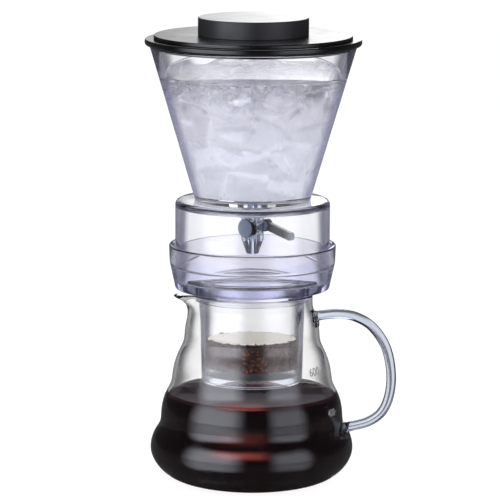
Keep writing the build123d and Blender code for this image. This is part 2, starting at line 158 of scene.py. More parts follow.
def clear_material(name, ior, ripple_mm, ripple, body, painted_rim, tint=None, density=0.0,
                   painted_rim_from=0.50, painted_rim_to=0.70, painted_veil=0.0):
    """A clear solid: bent light, faint ripples, and a body colour that turns to a painted rim colour.

    tint and density colour it by the thickness crossed, and the veil share paints a matt violet shade
    at its rim.
    """
    material, tree = new_material(name)
    where = add_node(tree, "ShaderNodeTexCoord")
    waves = add_node(tree, "ShaderNodeTexNoise", {"Scale": 1 / (ripple_mm * MM), "Detail": 2.0},
                     {"Vector": (where, "Object")})
    bump = add_node(tree, "ShaderNodeBump", {"Strength": 1.0, "Distance": ripple * MM},
                    {"Height": (waves, "Fac")})
    haze = add_node(tree, "ShaderNodeMapRange", {"To Min": 0.0, "To Max": 0.02},
                    {"Value": (waves, "Fac")})
    grazing = add_node(tree, "ShaderNodeLayerWeight", {"Blend": 0.5})
    edge = add_node(tree, "ShaderNodeMapRange", {"interpolation_type": "SMOOTHSTEP",
                    "From Min": painted_rim_from, "From Max": painted_rim_to}, {"Value": (grazing, "Facing")})
    # The painted rim shade falls only on upright walls, so a level face's normal takes it away.
    surface = add_node(tree, "ShaderNodeNewGeometry")
    lie = add_node(tree, "ShaderNodeSeparateXYZ", {}, {0: (surface, "True Normal")})
    flat = add_node(tree, "ShaderNodeMath", {"operation": "MULTIPLY"}, {0: (lie, "Z"), 1: (lie, "Z")})
    upright = add_node(tree, "ShaderNodeMath", {"operation": "SUBTRACT", 0: 1.0}, {1: (flat, 0)})
    # dark is the share of the painted rim colour: painted shade where an upright wall is seen edge on.
    dark = add_node(tree, "ShaderNodeMath", {"operation": "MULTIPLY"},
                    {0: (edge, "Result"), 1: (upright, 0)})
    colour = add_node(tree, "ShaderNodeMix", {"data_type": "RGBA", 6: linear(body), 7: linear(painted_rim)},
                      {0: (dark, 0)})
    wall = add_node(tree, "ShaderNodeBsdfPrincipled", {"Transmission Weight": 1.0, "IOR": ior},
                    {"Base Color": (colour, 2), "Normal": (bump, "Normal"),
                     "Roughness": (haze, "Result")})
    # The veil mixes in a matt violet layer at the rim: painted shade.
    if painted_veil:
        painted_veil_share = add_node(tree, "ShaderNodeMath", {"operation": "MULTIPLY", 1: painted_veil},
                               {0: (edge, "Result")})
        front = add_node(tree, "ShaderNodeBsdfDiffuse", {"Color": PAINTED_VEIL_VIOLET})
        behind = add_node(tree, "ShaderNodeBsdfTranslucent", {"Color": PAINTED_VEIL_VIOLET})
        painted_veil_shader = add_node(tree, "ShaderNodeMixShader", {0: 0.5}, {1: (front, 0), 2: (behind, 0)})
        wall = add_node(tree, "ShaderNodeMixShader", {},
                        {0: (painted_veil_share, 0), 1: (wall, 0), 2: (painted_veil_shader, 0)})
    path = add_node(tree, "ShaderNodeLightPath")
    soft = add_node(tree, "ShaderNodeMath", {"operation": "MAXIMUM"},
                    {0: (path, "Is Shadow Ray"), 1: (path, "Is Diffuse Ray")})
    through = add_node(tree, "ShaderNodeBsdfTransparent", {"Color": LETS_BY})
    mix = add_node(tree, "ShaderNodeMixShader", {}, {0: (soft, 0), 1: (wall, 0), 2: (through, 0)})
    out = add_node(tree, "ShaderNodeOutputMaterial", {}, {"Surface": (mix, 0)})
    if tint:
        depth = add_node(tree, "ShaderNodeVolumeAbsorption", {"Color": tint, "Density": density})
        tree.links.new(depth.outputs[0], out.inputs["Volume"])
    return material


print("light bends by", STYRENE_IOR, "in styrene,", GLASS_IOR, "in glass,", WATER_IOR, "in water")

# %% [markdown]
# ## The clear plastics and the glass
# Styrene is the hard, bright plastic of clear kitchen ware. The thick bowl gets the tint that grows
# with depth, and the thin walls get a painted darker rim instead: painted shade where they are seen
# edge on. Where water lies against a wall, light bends only by the ratio of the two, so each wet
# side is a clear material of its own.

# %% Clear plastics and glass
# Clear styrene, injection moulded: bright, hard, violet where it is thick; a pale painted rim and a
# violet veil where it is seen along its wall are painted shade.
styrene = clear_material("clear_moulded_styrene", STYRENE_IOR, 22.0, 0.012, "f2f2f7", "ccccde",
                         linear("5969ef"), 7.0, painted_veil=0.20)
# The same styrene in the thin wall of the tank and its skirt: paler, with a painted slate rim shade.
styrene_dry = clear_material("clear_styrene_tank_wall", STYRENE_IOR, 22.0, 0.012, "fafafd", "8484a0",
                             painted_veil=0.15)
# The tank's wet side bends light less, so it reads quieter, and its painted rim shade is paler.
styrene_wet = clear_material("clear_styrene_wet_side", STYRENE_IOR / WATER_IOR, 22.0, 0.0, "fafafd",
                             "b4b4c8")
# The basket's long thin wall: clear in the middle, with a painted dark shade where the eye runs along
# it.
styrene_thin = clear_material("clear_styrene_basket_wall", STYRENE_IOR, 22.0, 0.012, "fafafc",
                              "606080", painted_veil=0.06)
# Borosilicate glass, blown in a mould: colourless, with a painted grey rim shade, and long soft waves.
borosilicate = clear_material("blown_borosilicate_glass", GLASS_IOR, 16.0, 0.02, "fdfdfd", "a4a4a8")
# The handle's rod is solid glass: its grey body and the darker rim towards both of its edges are
# painted shade.
rod_glass = clear_material("solid_glass_rod", GLASS_IOR, 9.0, 0.015, "c6cbd8", "4c5264",
                           painted_rim_from=0.10, painted_rim_to=0.66)
for material in (styrene, styrene_dry, styrene_wet, styrene_thin, borosilicate, rod_glass):
    print(material.name, len(material.node_tree.nodes), "nodes")

# %% [markdown]
# ## Turned pieces
# Bowl, basket, tank and carafe are round, so each is one outline turned about the axis. The outline
# is a list of corners with the same radius, height and rounding as in the CAD model. Fine steps
# round the corners and round the axis keep the refraction smooth.

# %% Turning helpers
def rounded(corners, steps=6):
    """Points of a closed outline, with an arc at each corner that has a rounding."""
    points = []
    for i, (radius, height, rounding) in enumerate(corners):
        here = Vector((radius, height))
        if rounding == 0:
            points.append(here)
            continue
        back = (Vector(corners[i - 1][:2]) - here).normalized()
        ahead = (Vector(corners[(i + 1) % len(corners)][:2]) - here).normalized()
        half = back.angle(ahead) / 2
        centre = here + (back + ahead).normalized() * rounding / math.sin(half)
        first = here + back * rounding / math.tan(half) - centre
        last = here + ahead * rounding / math.tan(half) - centre
        for step in range(steps + 1):
            share = step / steps
            points.append(centre + (first * (1 - share) + last * share).normalized() * rounding)
    return points


def object_from(name, mesh_code, body):
    """A new object from a bmesh, riding on a CAD body."""
    mesh = bpy.data.meshes.new(name)
    bmesh.ops.recalc_face_normals(mesh_code, faces=mesh_code.faces)
    mesh_code.to_mesh(mesh)
    mesh_code.free()
    piece = bpy.data.objects.new(name, mesh)
    scene.collection.objects.link(piece)
    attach(piece, body)
    return piece


def smooth(piece, angle=32.0):
    """Smooth shading that keeps edges sharper than angle."""
    piece.data.shade_smooth()
    piece.data.set_sharp_from_angle(angle=math.radians(angle))


def turned(name, points, body, turns=180, push=None):
    """A closed outline in millimetres turned about Z. push may move each point by its angle."""
    code = bmesh.new()
    rings = []
    for step in range(turns):
        angle = 2 * math.pi * step / turns
        ring = []
        for radius, height in points:
            if push:
                radius, height = push(radius, height, angle)
            place = (radius * MM * math.cos(angle), radius * MM * math.sin(angle), height * MM)
            ring.append(code.verts.new(place))
        rings.append(ring)
    count = len(points)
    for step in range(turns):
        here, there = rings[step], rings[(step + 1) % turns]
        for i in range(count):
            j = (i + 1) % count
            if points[i][0] > 1e-6 or points[j][0] > 1e-6:
                code.faces.new((here[i], there[i], there[j], here[j]))
    bmesh.ops.remove_doubles(code, verts=code.verts, dist=1e-7)
    bmesh.ops.dissolve_degenerate(code, edges=code.edges, dist=1e-8)
    piece = object_from(name, code, body)
    smooth(piece)
    return piece


def dress(piece, material, slot, *replaced):
    """Give a piece its material and hide the CAD nodes that it stands for; slot is not used."""
    piece.data.materials.append(material)
    if replaced:
        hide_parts(*replaced)
    return piece


square = [(0, 0, 2), (8, 0, 2), (8, 8, 2), (0, 8, 2)]
print("an 8 mm square with 2 mm corners has", len(rounded(square)), "points")

# %% [markdown]
# ## Tank and skirt
# These two are injection moulded. The tank's cone stands on a drum, and the drum stands in the bowl
# below on a ledge. Each outline below lists its corners as radius, height and rounding, all in
# millimetres.

# %% Tank and skirt
WATER_TOP = 263.5
STEM_BORE = 6.2
TANK_RIM = 282.1
TANK_RIM_RADIUS = 62.35
TANK_FLOOR = 186.2
TANK_FLOOR_RADIUS = 34.03
SKIRT_TOP = 183.2
SKIRT_PLATE = 179.7
SKIRT_FOOT = 142.0
SKIRT_INSIDE = 46.5
SKIRT_OUTSIDE = 49.5


def tank_inside(height):
    """Radius of the tank's inner wall in millimetres."""
    spread = (height - TANK_FLOOR) * (TANK_RIM_RADIUS - TANK_FLOOR_RADIUS) / (TANK_RIM - TANK_FLOOR)
    return TANK_FLOOR_RADIUS + spread


tank_outline = [
    (STEM_BORE, SKIRT_TOP, 0), (36.9, SKIRT_TOP, 0.4), (66.1, TANK_RIM, 0.8),
    (TANK_RIM_RADIUS, TANK_RIM, 0.6), (tank_inside(WATER_TOP), WATER_TOP, 0),
    (TANK_FLOOR_RADIUS, TANK_FLOOR, 2.0), (STEM_BORE, TANK_FLOOR, 0)]
skirt_outline = [
    (STEM_BORE, SKIRT_PLATE, 0), (SKIRT_INSIDE, SKIRT_PLATE, 1.5), (SKIRT_INSIDE, SKIRT_FOOT, 0.6),
    (SKIRT_OUTSIDE, SKIRT_FOOT, 0.6), (SKIRT_OUTSIDE, SKIRT_TOP, 3.0), (36.5, SKIRT_TOP, 0),
    (STEM_BORE, SKIRT_TOP, 0)]
tank = turned("tank_cone_clear", rounded(tank_outline), "tank")
dress(tank, styrene_dry, "tank_plastic", "tank_cone")
skirt = turned("tank_skirt_clear", rounded(skirt_outline), "tank")
dress(skirt, styrene_dry, "skirt_plastic", "tank_skirt")
for piece in (tank, skirt):
    print(piece.name, len(piece.data.polygons), "faces")

# %% [markdown]
# ## Bonded joint
# The tank's floor is bonded to the skirt's plate. Two clear surfaces that only lie on each other
# would mirror the room between them, so both faces of the joint get a material that lets light by.

# %% Bonded joint
BOND_REACH = 36.6
# A clear bond: light crosses the joint as if it weren't there.
bond, tree = new_material("bonded_joint")
clear = add_node(tree, "ShaderNodeBsdfTransparent", {"Color": linear("ffffff")})
add_node(tree, "ShaderNodeOutputMaterial", {}, {"Surface": (clear, 0)})
bonded = 0
for piece in (tank, skirt):
    piece.data.materials.append(bond)
    for face in piece.data.polygons:
        middle = face.center / MM
        if abs(middle.z - SKIRT_TOP) < 0.001 and math.hypot(middle.x, middle.y) < BOND_REACH:
            face.material_index = 1
            bonded += 1
print(bonded, "faces are bonded")

# %% [markdown]
# ## Bowl and basket
# The bowl is the thickest moulding: its spigot stands in the carafe's neck, its floor carries the
# basket's flange, and its ledge carries the skirt. The basket is a long tube with a draft of one and
# a half millimetres, as every deep moulding needs, so that it comes off its core.

# %% Bowl and basket
BOWL_OPENING = 34.2
BOWL_FOOT = 118.5
BOWL_FLOOR = 132.3
BOWL_LEDGE = 141.7
BOWL_RIM = 154.3
BASKET_FOOT = 65.4
BASKET_SEAT = 70.8
BASKET_SEAT_RADIUS = 29.6
BASKET_MOUTH = 133.0
BASKET_MOUTH_RADIUS = 31.1


def basket_inside(height):
    """Radius of the basket's inner wall in millimetres."""
    spread = (height - BASKET_SEAT) * (BASKET_MOUTH_RADIUS - BASKET_SEAT_RADIUS)
    return BASKET_SEAT_RADIUS + spread / (BASKET_MOUTH - BASKET_SEAT)


bowl_outline = [
    (BOWL_OPENING, BOWL_FOOT, 0.4), (36.3, BOWL_FOOT, 0.4), (36.3, 123.5, 0), (40.9, 123.5, 0.3),
    (41.5, 125.5, 0.3), (49.4, 126.3, 1.0), (53.1, 143.0, 6.0), (53.5, BOWL_RIM, 1.0),
    (50.1, BOWL_RIM, 0.8), (50.1, BOWL_LEDGE, 0.3), (46.2, BOWL_LEDGE, 0.8),
    (46.2, BOWL_FLOOR, 1.0), (BOWL_OPENING, BOWL_FLOOR, 0.4)]
basket_outline = [
    (BASKET_MOUTH_RADIUS, BASKET_MOUTH, 0), (32.7, 134.6, 0), (41.0, 134.6, 0.6), (41.0, 132.6, 0.6),
    (33.9, 132.6, 0.4), (32.4, BASKET_FOOT, 0.4), (30.8, BASKET_FOOT, 0.3), (30.8, BASKET_SEAT, 0),
    (BASKET_SEAT_RADIUS, BASKET_SEAT, 0.2)]
bowl = turned("dripper_bowl_clear", rounded(bowl_outline), "dripper")
dress(bowl, styrene, "bowl_plastic", "dripper_bowl")
basket = turned("basket_tube_clear", rounded(basket_outline), "basket")
dress(basket, styrene_thin, "basket_plastic", "basket_tube")
for piece in (bowl, basket):
    print(piece.name, len(piece.data.polygons), "faces")

# %% [markdown]
# ## Carafe
# The glass is blown into a mould that leaves four soft steps. Each step stands up almost straight
# from its waist and then curves in to the next, which is one power curve per step. The spout is
# pulled out of the hot neck with a tool: the wall bulges towards one side and its lip dips.

# %% Carafe outline
# Radius and height of the belly, of each waist and of the neck, and the power of the curve between.
WAISTS = ((65.4, 21.5), (58.7, 37.5), (51.6, 63.4), (43.6, 90.6), (38.8, 113.2))
POWERS = (2.1, 3.0, 2.2, 2.6)
FOOT_RADIUS = 40.0
GLASS_WALL = 2.2
GLASS_BASE = 2.4


def carafe_outline():
    """Outer points of the glass from the foot to the rim."""
    belly_radius, belly = WAISTS[0]
    neck_radius, neck = WAISTS[-1]
    points = []
    for i in range(25):
        share = 1 - i / 24
        swell = (1 - share ** 1.8) ** (1 / 1.8)
        points.append((FOOT_RADIUS + (belly_radius - FOOT_RADIUS) * swell, belly * (1 - share)))
    for (low_radius, low), (high_radius, high), power in zip(WAISTS, WAISTS[1:], POWERS):
        for i in range(1, 17):
            share = i / 16
            radius = low_radius - (low_radius - high_radius) * share ** power
            points.append((radius, low + (high - low) * share))
    return points + [(neck_radius, neck + i) for i in range(1, 9)]


def blend_soft(points, rounds=6):
    """Even out the joins between the curves a little, as molten glass does."""
    for _ in range(rounds):
        inner = [((a[0] + 2 * b[0] + c[0]) / 4, (a[1] + 2 * b[1] + c[1]) / 4)
                 for a, b, c in zip(points, points[1:], points[2:])]
        points = [points[0]] + inner + [points[-1]]
    return points


def shift_in(points, depth):
    """Points moved inwards by depth, square to their line."""
    moved = []
    for i, (radius, height) in enumerate(points):
        before, after = points[max(i - 1, 0)], points[min(i + 1, len(points) - 1)]
        along = Vector((after[0] - before[0], after[1] - before[1])).normalized()
        moved.append((radius - depth * along.y, height + depth * along.x))
    return moved


outer = blend_soft(carafe_outline())
print("outline of", len(outer), "points, widest", round(max(r for r, z in outer), 1), "mm radius")

# %% [markdown]
# ## Spout and inner wall
# The inner wall follows the outer one at the thickness of the glass. The spout is a push on each
# turned point: it grows with height and fades with the angle from the spout's side. A small extra
# push rolls the lip outwards, as the tool leaves it.

# %% Carafe
SPOUT_FROM = 104.0
SPOUT_RISE = 19.2
SPOUT_REACH = 12.4
SPOUT_DIP = 3.4
LIP_HEIGHT = 120.7
LIP_HALF = 2.3
LIP_ROLL = 1.7
NECK_MIDDLE = 38.2
FLOOR_CURVE = 3.4


def pull_spout(radius, height, angle):
    """Bulge the neck towards -X, roll its lip and let the lip dip there."""
    rise = max(0.0, (height - SPOUT_FROM) / SPOUT_RISE)
    off = (angle - math.pi) / (0.40 - 0.06 * rise)
    pull = math.exp(-off * off)
    roll = LIP_ROLL * pull * math.exp(-((height - LIP_HEIGHT) / LIP_HALF) ** 2)
    radius += roll if radius > NECK_MIDDLE else -0.6 * roll
    return radius + SPOUT_REACH * min(rise, 1.0) ** 1.9 * pull, height - SPOUT_DIP * pull * rise ** 3


inner = [(r, z) for r, z in shift_in(outer, GLASS_WALL) if z > FLOOR_CURVE]
lip = [(38.6, 122.3), (38.1, 123.0), (37.5, 123.2), (37.0, 122.9), (36.7, 122.2)]
floor_edge = [(inner[0][0] - 3.0, GLASS_BASE + 0.35), (inner[0][0] - 6.0, GLASS_BASE)]
glass_points = [(0, 0)] + outer + lip + inner[::-1] + floor_edge + [(0, GLASS_BASE)]
carafe = turned("carafe_glass", glass_points, "carafe", 240, pull_spout)
dress(carafe, borosilicate, "carafe_glass", "carafe_body")
print("carafe", len(carafe.data.polygons), "faces")

# %% [markdown]
# ## Handle
# The handle is a bent glass rod. Its two ends are pressed onto the hot wall, so they spread into
# pads. One smooth line runs through a few points, and a circle is carried along it that grows near
# both ends.

# %% Handle
ROD_RADIUS = 3.15
ROOT_RADIUS = 4.7
ROOT_LENGTH = 2.6
ROD_SIDES = 32


def smooth_line(corners, steps=16):
    """Even points on one smooth curve through corners of (reach, height)."""
    marks = [Vector((reach, 0, height)) for reach, height in corners]
    marks = [2 * marks[0] - marks[1]] + marks + [2 * marks[-1] - marks[-2]]
    points = [marks[1]]
    for a, b, c, d in zip(marks, marks[1:], marks[2:], marks[3:]):
        for k in range(1, steps + 1):
            t = k / steps
            points.append(0.5 * (2 * b + (c - a) * t + (2 * a - 5 * b + 4 * c - d) * t ** 2
                                 + (3 * b - a - 3 * c + d) * t ** 3))
    return points


def glass_rod(name, line, body):
    """A round rod in the XZ plane whose ends swell into pads."""
    code = bmesh.new()
    rings = []
    total = sum((b - a).length for a, b in zip(line, line[1:]))
    run = 0.0
    for i, point in enumerate(line):
        if i:
            run += (point - line[i - 1]).length
        along = (line[min(i + 1, len(line) - 1)] - line[max(i - 1, 0)]).normalized()
        side = Vector((0, 1, 0))
        up = along.cross(side)
        end = min(run, total - run)
        size = ROD_RADIUS + (ROOT_RADIUS - ROD_RADIUS) * math.exp(-(end / ROOT_LENGTH) ** 1.6)
        ring = []
        for k in range(ROD_SIDES):
            around = 2 * math.pi * k / ROD_SIDES
            offset = side * math.cos(around) * size + up * math.sin(around) * size
            ring.append(code.verts.new((point + offset) * MM))
        rings.append(ring)
    for a, b in zip(rings, rings[1:]):
        for k in range(ROD_SIDES):
            j = (k + 1) % ROD_SIDES
            code.faces.new((a[k], a[j], b[j], b[k]))
    code.faces.new(rings[0])
    code.faces.new(rings[-1])
    piece = object_from(name, code, body)
    smooth(piece, 50.0)
    return piece


route = smooth_line([(38.3, 107.9), (54.5, 110.3), (66.8, 108.7), (78.2, 102.0), (87.2, 88.0),
                     (90.28, 68.0), (86.4, 50.4), (76.4, 40.8), (58.4, 35.3)])
handle = dress(glass_rod("carafe_handle_rod", route, "carafe"), rod_glass, "handle_glass",
               "carafe_handle")
print(handle.name, round(sum((b - a).length for a, b in zip(route, route[1:]))), "mm of rod")

# %% [markdown]
# ## Melted joints
# Where the hot rod met the wall, glass flowed out into a flat pad with a rounded rim. Each pad
# follows the outline of the carafe.

# %% Pads
PAD_RINGS = 14
PAD_SIDES = 40
PAD_HEIGHTS = (33.6, 107.0)


def wall_at(height):
    """Outer radius of the carafe in millimetres."""
    for low, high in zip(outer, outer[1:]):
        if low[1] <= height <= high[1]:
            return low[0] + (high[0] - low[0]) * (height - low[1]) / (high[1] - low[1])
    return outer[-1][0]


def melted_pad(name, azimuth, height, wide, high, thick):
    """A thin rounded pad on the carafe's wall, half widths in millimetres."""
    code = bmesh.new()
    skins = []
    for lift in (1.0, -0.35):
        rings = []
        for i in range(PAD_RINGS + 1):
            reach = i / PAD_RINGS
            ring = []
            for k in range(PAD_SIDES):
                way = 2 * math.pi * k / PAD_SIDES
                up = height + high * reach * math.sin(way)
                base = wall_at(up)
                aside = wide * reach * math.cos(way) / base * (1 - 0.18 * math.sin(way))
                out = base + thick * lift * (1 - reach ** 6) ** 0.5 * (0.72 + 0.28 * reach ** 2)
                place = (out * math.cos(azimuth + aside), out * math.sin(azimuth + aside), up)
                ring.append(code.verts.new([v * MM for v in place]))
            rings.append(ring)
        for a, b in zip(rings, rings[1:]):
            for k in range(PAD_SIDES):
                j = (k + 1) % PAD_SIDES
                code.faces.new((a[k], a[j], b[j], b[k]))
        skins.append(rings[-1])
    front, back = skins
    for k in range(PAD_SIDES):
        j = (k + 1) % PAD_SIDES
        code.faces.new((front[k], front[j], back[j], back[k]))
    bmesh.ops.remove_doubles(code, verts=code.verts, dist=1e-6)
    pad = object_from(name, code, "carafe")
    smooth(pad, 60.0)
    return dress(pad, borosilicate, "handle_glass")


low_pad = melted_pad("weld_pad_low", math.radians(-5.0), PAD_HEIGHTS[0], 10.5, 5.2, 1.3)
high_pad = melted_pad("weld_pad_high", math.radians(-2.0), PAD_HEIGHTS[1], 6.4, 5.6, 1.4)
for pad, height in zip((low_pad, high_pad), PAD_HEIGHTS):
    print(pad.name, "on the wall at", round(wall_at(height), 1), "mm radius")

# %% [markdown]
# ## Coffee
# Cold brew is dark enough to look black in bulk and turns red brown where it is a few millimetres
# deep. That is a colour that grows with depth, so the coffee is a volume. Its side touches the
# glass, where light passes from glass to liquid without the strong mirror of a glass to air
# surface. So the inner wall below the coffee gets a weaker bend, and the coffee's own side is clear.
# The red glows on the coffee's side and round its surface are painted light: a red brown matt colour
# put where light through the coffee would show.

# %% Coffee materials
COFFEE_TOP = 57.6
BREW_TINT = linear("e78145")
BREW_DENSITY = 420.0
# Where a red glow is painted on the side: middle height and half height in millimetres, and strength.
PAINTED_RED_BANDS = ((28.6, 3.6, 1.0), (38.4, 6.5, 0.30))


def painted_glow_places(tree, where):
    """Two places, front and back, where a red glow of light is painted on the coffee: 1 in their
    middle.
    """
    spot = add_node(tree, "ShaderNodeSeparateXYZ", {}, {0: (where, "Object")})
    bearing = add_node(tree, "ShaderNodeMath", {"operation": "ARCTAN2"},
                       {0: (spot, "Y"), 1: (spot, "X")})
    double = add_node(tree, "ShaderNodeMath", {"operation": "MULTIPLY", 1: 2.0}, {0: (bearing, 0)})
    lobe = add_node(tree, "ShaderNodeMath", {"operation": "COSINE"}, {0: (double, 0)})
    return add_node(tree, "ShaderNodeMapRange", {"interpolation_type": "SMOOTHSTEP",
                    "From Min": -0.72, "From Max": -1.0}, {"Value": (lobe, 0)})


def brew_surface():
    """The coffee's free surface: black, with a painted red brown glow at its rim, front and back."""
    material = clear_material("cold_brew_surface", 1.11, 30.0, 0.0, "ffffff", "ffffff", BREW_TINT,
                              BREW_DENSITY)
    tree = material.node_tree
    where = add_node(tree, "ShaderNodeTexCoord")
    reach = add_node(tree, "ShaderNodeVectorMath", {"operation": "LENGTH"}, {0: (where, "Object")})
    painted_rim = add_node(tree, "ShaderNodeMapRange", {"interpolation_type": "SMOOTHSTEP",
                   "From Min": 66 * MM, "From Max": 73 * MM}, {"Value": (reach, "Value")})
    share = add_node(tree, "ShaderNodeMath", {"operation": "MULTIPLY"},
                     {0: (painted_rim, 0), 1: (painted_glow_places(tree, where), 0)})
    painted_glow_colour = add_node(tree, "ShaderNodeMix", {"data_type": "RGBA", 6: linear("291618"),
                     7: linear("6c3430")}, {0: (share, 0)})
    # This matt red is a painted glow round the surface's rim.
    painted_red_glow = add_node(tree, "ShaderNodeBsdfDiffuse", {}, {"Color": (painted_glow_colour, 2)})
    both = add_node(tree, "ShaderNodeAddShader", {},
                    {0: (tree.nodes["Principled BSDF"], 0), 1: (painted_red_glow, 0)})
    tree.links.new(both.outputs[0], tree.nodes["Mix Shader"].inputs[1])
    return material


def brew_against_glass():
    """The coffee's side: light passes, and a red glow is painted on it in two bands."""
    material, tree = new_material("cold_brew_against_glass")
    through = add_node(tree, "ShaderNodeBsdfTransparent")
    where = add_node(tree, "ShaderNodeTexCoord")
    spot = add_node(tree, "ShaderNodeSeparateXYZ", {}, {0: (where, "Object")})
    bands = []
    for middle, half, weight in PAINTED_RED_BANDS:
        off = add_node(tree, "ShaderNodeMath", {"operation": "SUBTRACT", 1: middle * MM},
                       {0: (spot, "Z")})
        off = add_node(tree, "ShaderNodeMath", {"operation": "ABSOLUTE"}, {0: (off, 0)})
        bands.append(add_node(tree, "ShaderNodeMapRange", {"interpolation_type": "SMOOTHSTEP",
                     "From Min": half * MM, "From Max": 0.0, "To Min": 0.0, "To Max": weight},
                     {"Value": (off, 0)}))
    glow = add_node(tree, "ShaderNodeMath", {"operation": "ADD"}, {0: (bands[0], 0), 1: (bands[1], 0)})
    glow = add_node(tree, "ShaderNodeMath", {"operation": "MULTIPLY"},
                    {0: (glow, 0), 1: (painted_glow_places(tree, where), 0)})
    painted_glow_colour = add_node(tree, "ShaderNodeMix", {"data_type": "RGBA", 6: linear("0d0506"),
                     7: linear("7c3835")}, {0: (glow, 0)})
    # A painted red glow, matt, in the two bands.
    painted_glow = add_node(tree, "ShaderNodeBsdfDiffuse", {}, {"Color": (painted_glow_colour, 2)})
    both = add_node(tree, "ShaderNodeAddShader", {}, {0: (through, 0), 1: (painted_glow, 0)})
    depth = add_node(tree, "ShaderNodeVolumeAbsorption", {"Color": BREW_TINT, "Density": BREW_DENSITY})
    add_node(tree, "ShaderNodeOutputMaterial", {}, {"Surface": (both, 0), "Volume": (depth, 0)})
    return material


# Glass with coffee against it: nearly no mirror, so the dark shows straight through; its grey rim is
# painted shade.
wet_glass = clear_material("glass_wet_with_coffee", GLASS_IOR / WATER_IOR, 16.0, 0.0, "fdfdfd",
                           "7e7e82")
# Cold brew: black in bulk, red brown where it is a few millimetres deep, with painted red glows.
brew_top = brew_surface()
brew_side = brew_against_glass()
print("coffee materials:", wet_glass.name, brew_top.name, brew_side.name)

# %% [markdown]
# ## Fill the carafe
# The coffee is one more turned outline, a hair inside the glass, with a small curve where its
# surface climbs the wall. The glass faces below its surface take the wet material.

# %% Coffee
HAIR = 0.03
carafe.data.materials.append(wet_glass)
for face in carafe.data.polygons:
    middle = face.center
    radius = math.hypot(middle.x, middle.y) / MM
    height = middle.z / MM
    wall = min(outer, key=lambda point: abs(point[1] - height))
    inside = radius < wall[0] - 0.6 * GLASS_WALL and height > 0.8 * GLASS_BASE
    face.material_index = 1 if inside and height < COFFEE_TOP else 0
brew_wall = [(r - HAIR, z) for r, z in inner if z < COFFEE_TOP - 0.8]
brew_floor = [(0, GLASS_BASE + HAIR)] + [(r - HAIR, z + HAIR) for r, z in floor_edge[::-1]]
brim = min(inner, key=lambda point: abs(point[1] - COFFEE_TOP))[0]
brew_brim = [(brim - HAIR, COFFEE_TOP + 0.5), (brim - 0.5, COFFEE_TOP + 0.2),
             (brim - 1.4, COFFEE_TOP), (0, COFFEE_TOP)]
coffee = turned("cold_brew_coffee", brew_floor + brew_wall + brew_brim, "carafe")
dress(coffee, brew_side, "carafe_glass")
coffee.data.materials.append(brew_top)
for face in coffee.data.polygons:
    on_top = face.normal.z > 0.3 and face.center.z > (COFFEE_TOP - 1.0) * MM
    face.material_index = 1 if on_top else 0
print("coffee", round(COFFEE_TOP - GLASS_BASE), "mm deep,", round(2 * brim), "mm across its surface")

# %% [markdown]
# ## Measuring figures
# Small grey figures and short lines are fired onto the glass to the right of the front: how many
# millilitres the carafe holds up to each line. They are thin enamel, so each is a flat letter bent
# round the wall.

# %% Figures
# Fired enamel: a chalky pale grey, a little uneven where the screen laid it thinner.
enamel_grey, tree = new_material("fired_pale_grey_enamel")
where = add_node(tree, "ShaderNodeTexCoord")
thin = add_node(tree, "ShaderNodeTexNoise", {"Scale": 1 / (0.7 * MM), "Detail": 3.0},
                {"Vector": (where, "Object")})
tone = add_node(tree, "ShaderNodeMix", {"data_type": "RGBA", 6: linear("66666a"),
                7: linear("98989c")}, {0: (thin, "Fac")})
chalk = add_node(tree, "ShaderNodeMapRange", {"To Min": 0.45, "To Max": 0.75},
                 {"Value": (thin, "Fac")})
body = add_node(tree, "ShaderNodeBsdfPrincipled", {},
                {"Base Color": (tone, 2), "Roughness": (chalk, "Result")})
add_node(tree, "ShaderNodeOutputMaterial", {}, {"Surface": (body, 0)})


def enamel(text, height, azimuth, size):
    """Figures with a short line after them, bent round the carafe's outer wall."""
    curve = bpy.data.curves.new("figures_" + text, "FONT")
    curve.body = text
    curve.size = size * MM
    curve.extrude = 0.05 * MM
    curve.offset = 0.03 * MM
    curve.align_x = "CENTER"
    curve.align_y = "CENTER"
    carrier = bpy.data.objects.new("figures_" + text, curve)
    flat = bpy.data.meshes.new_from_object(carrier)
    bpy.data.objects.remove(carrier)
    code = bmesh.new()
    code.from_mesh(flat)
    half = max(vert.co.x for vert in flat.vertices)
    for vert in bmesh.ops.create_cube(code, size=1.0)["verts"]:
        x, y, z = vert.co
        vert.co = (half + (1.5 + 1.6 * x) * MM, 0.32 * y * MM, 0.1 * z * MM)
    for vert in code.verts:
        up = height + vert.co.y / MM
        base = wall_at(up)
        bearing = azimuth + vert.co.x / MM / base
        out = base + 0.06 + vert.co.z / MM
        vert.co = Vector((out * math.cos(bearing), out * math.sin(bearing), up)) * MM
    piece = object_from("figures_" + text, code, "carafe")
    return dress(piece, enamel_grey, "carafe_glass")


marks = [enamel("600", 76.5, math.radians(-29.0), 7.0), enamel("400", 49.4, math.radians(-20.0), 6.4)]
print([mark.name for mark in marks])

# %% [markdown]
# ## Water and ice
# The tank holds ice cubes in cold water. Water against the wall bends light little, so the wall's
# wet side has a weaker bend, as in the carafe. The cubes come from a freezer tray: each one is cloudy
# inside and has melted corners. They are cast into one body, because cubes that touch under water
# freeze together.

# %% Water
NUT_TOP = 196.0
NUT_ROOM = 6.3
WATER_FLOOR = 186.25
FLOOR_BEND = 188.2
WALL_GAP = 0.06
tank.data.materials.append(styrene_wet)
for face in tank.data.polygons:
    middle = face.center / MM
    on_wall = math.hypot(middle.x, middle.y) < tank_inside(middle.z) + 0.6
    if on_wall and TANK_FLOOR - 0.2 < middle.z < WATER_TOP:
        face.material_index = 2
# Still water: clear and colourless, with a faint swell that the ice leaves on it.
water_top = clear_material("still_cold_water", WATER_IOR, 14.0, 0.05, "ffffff", "ffffff")
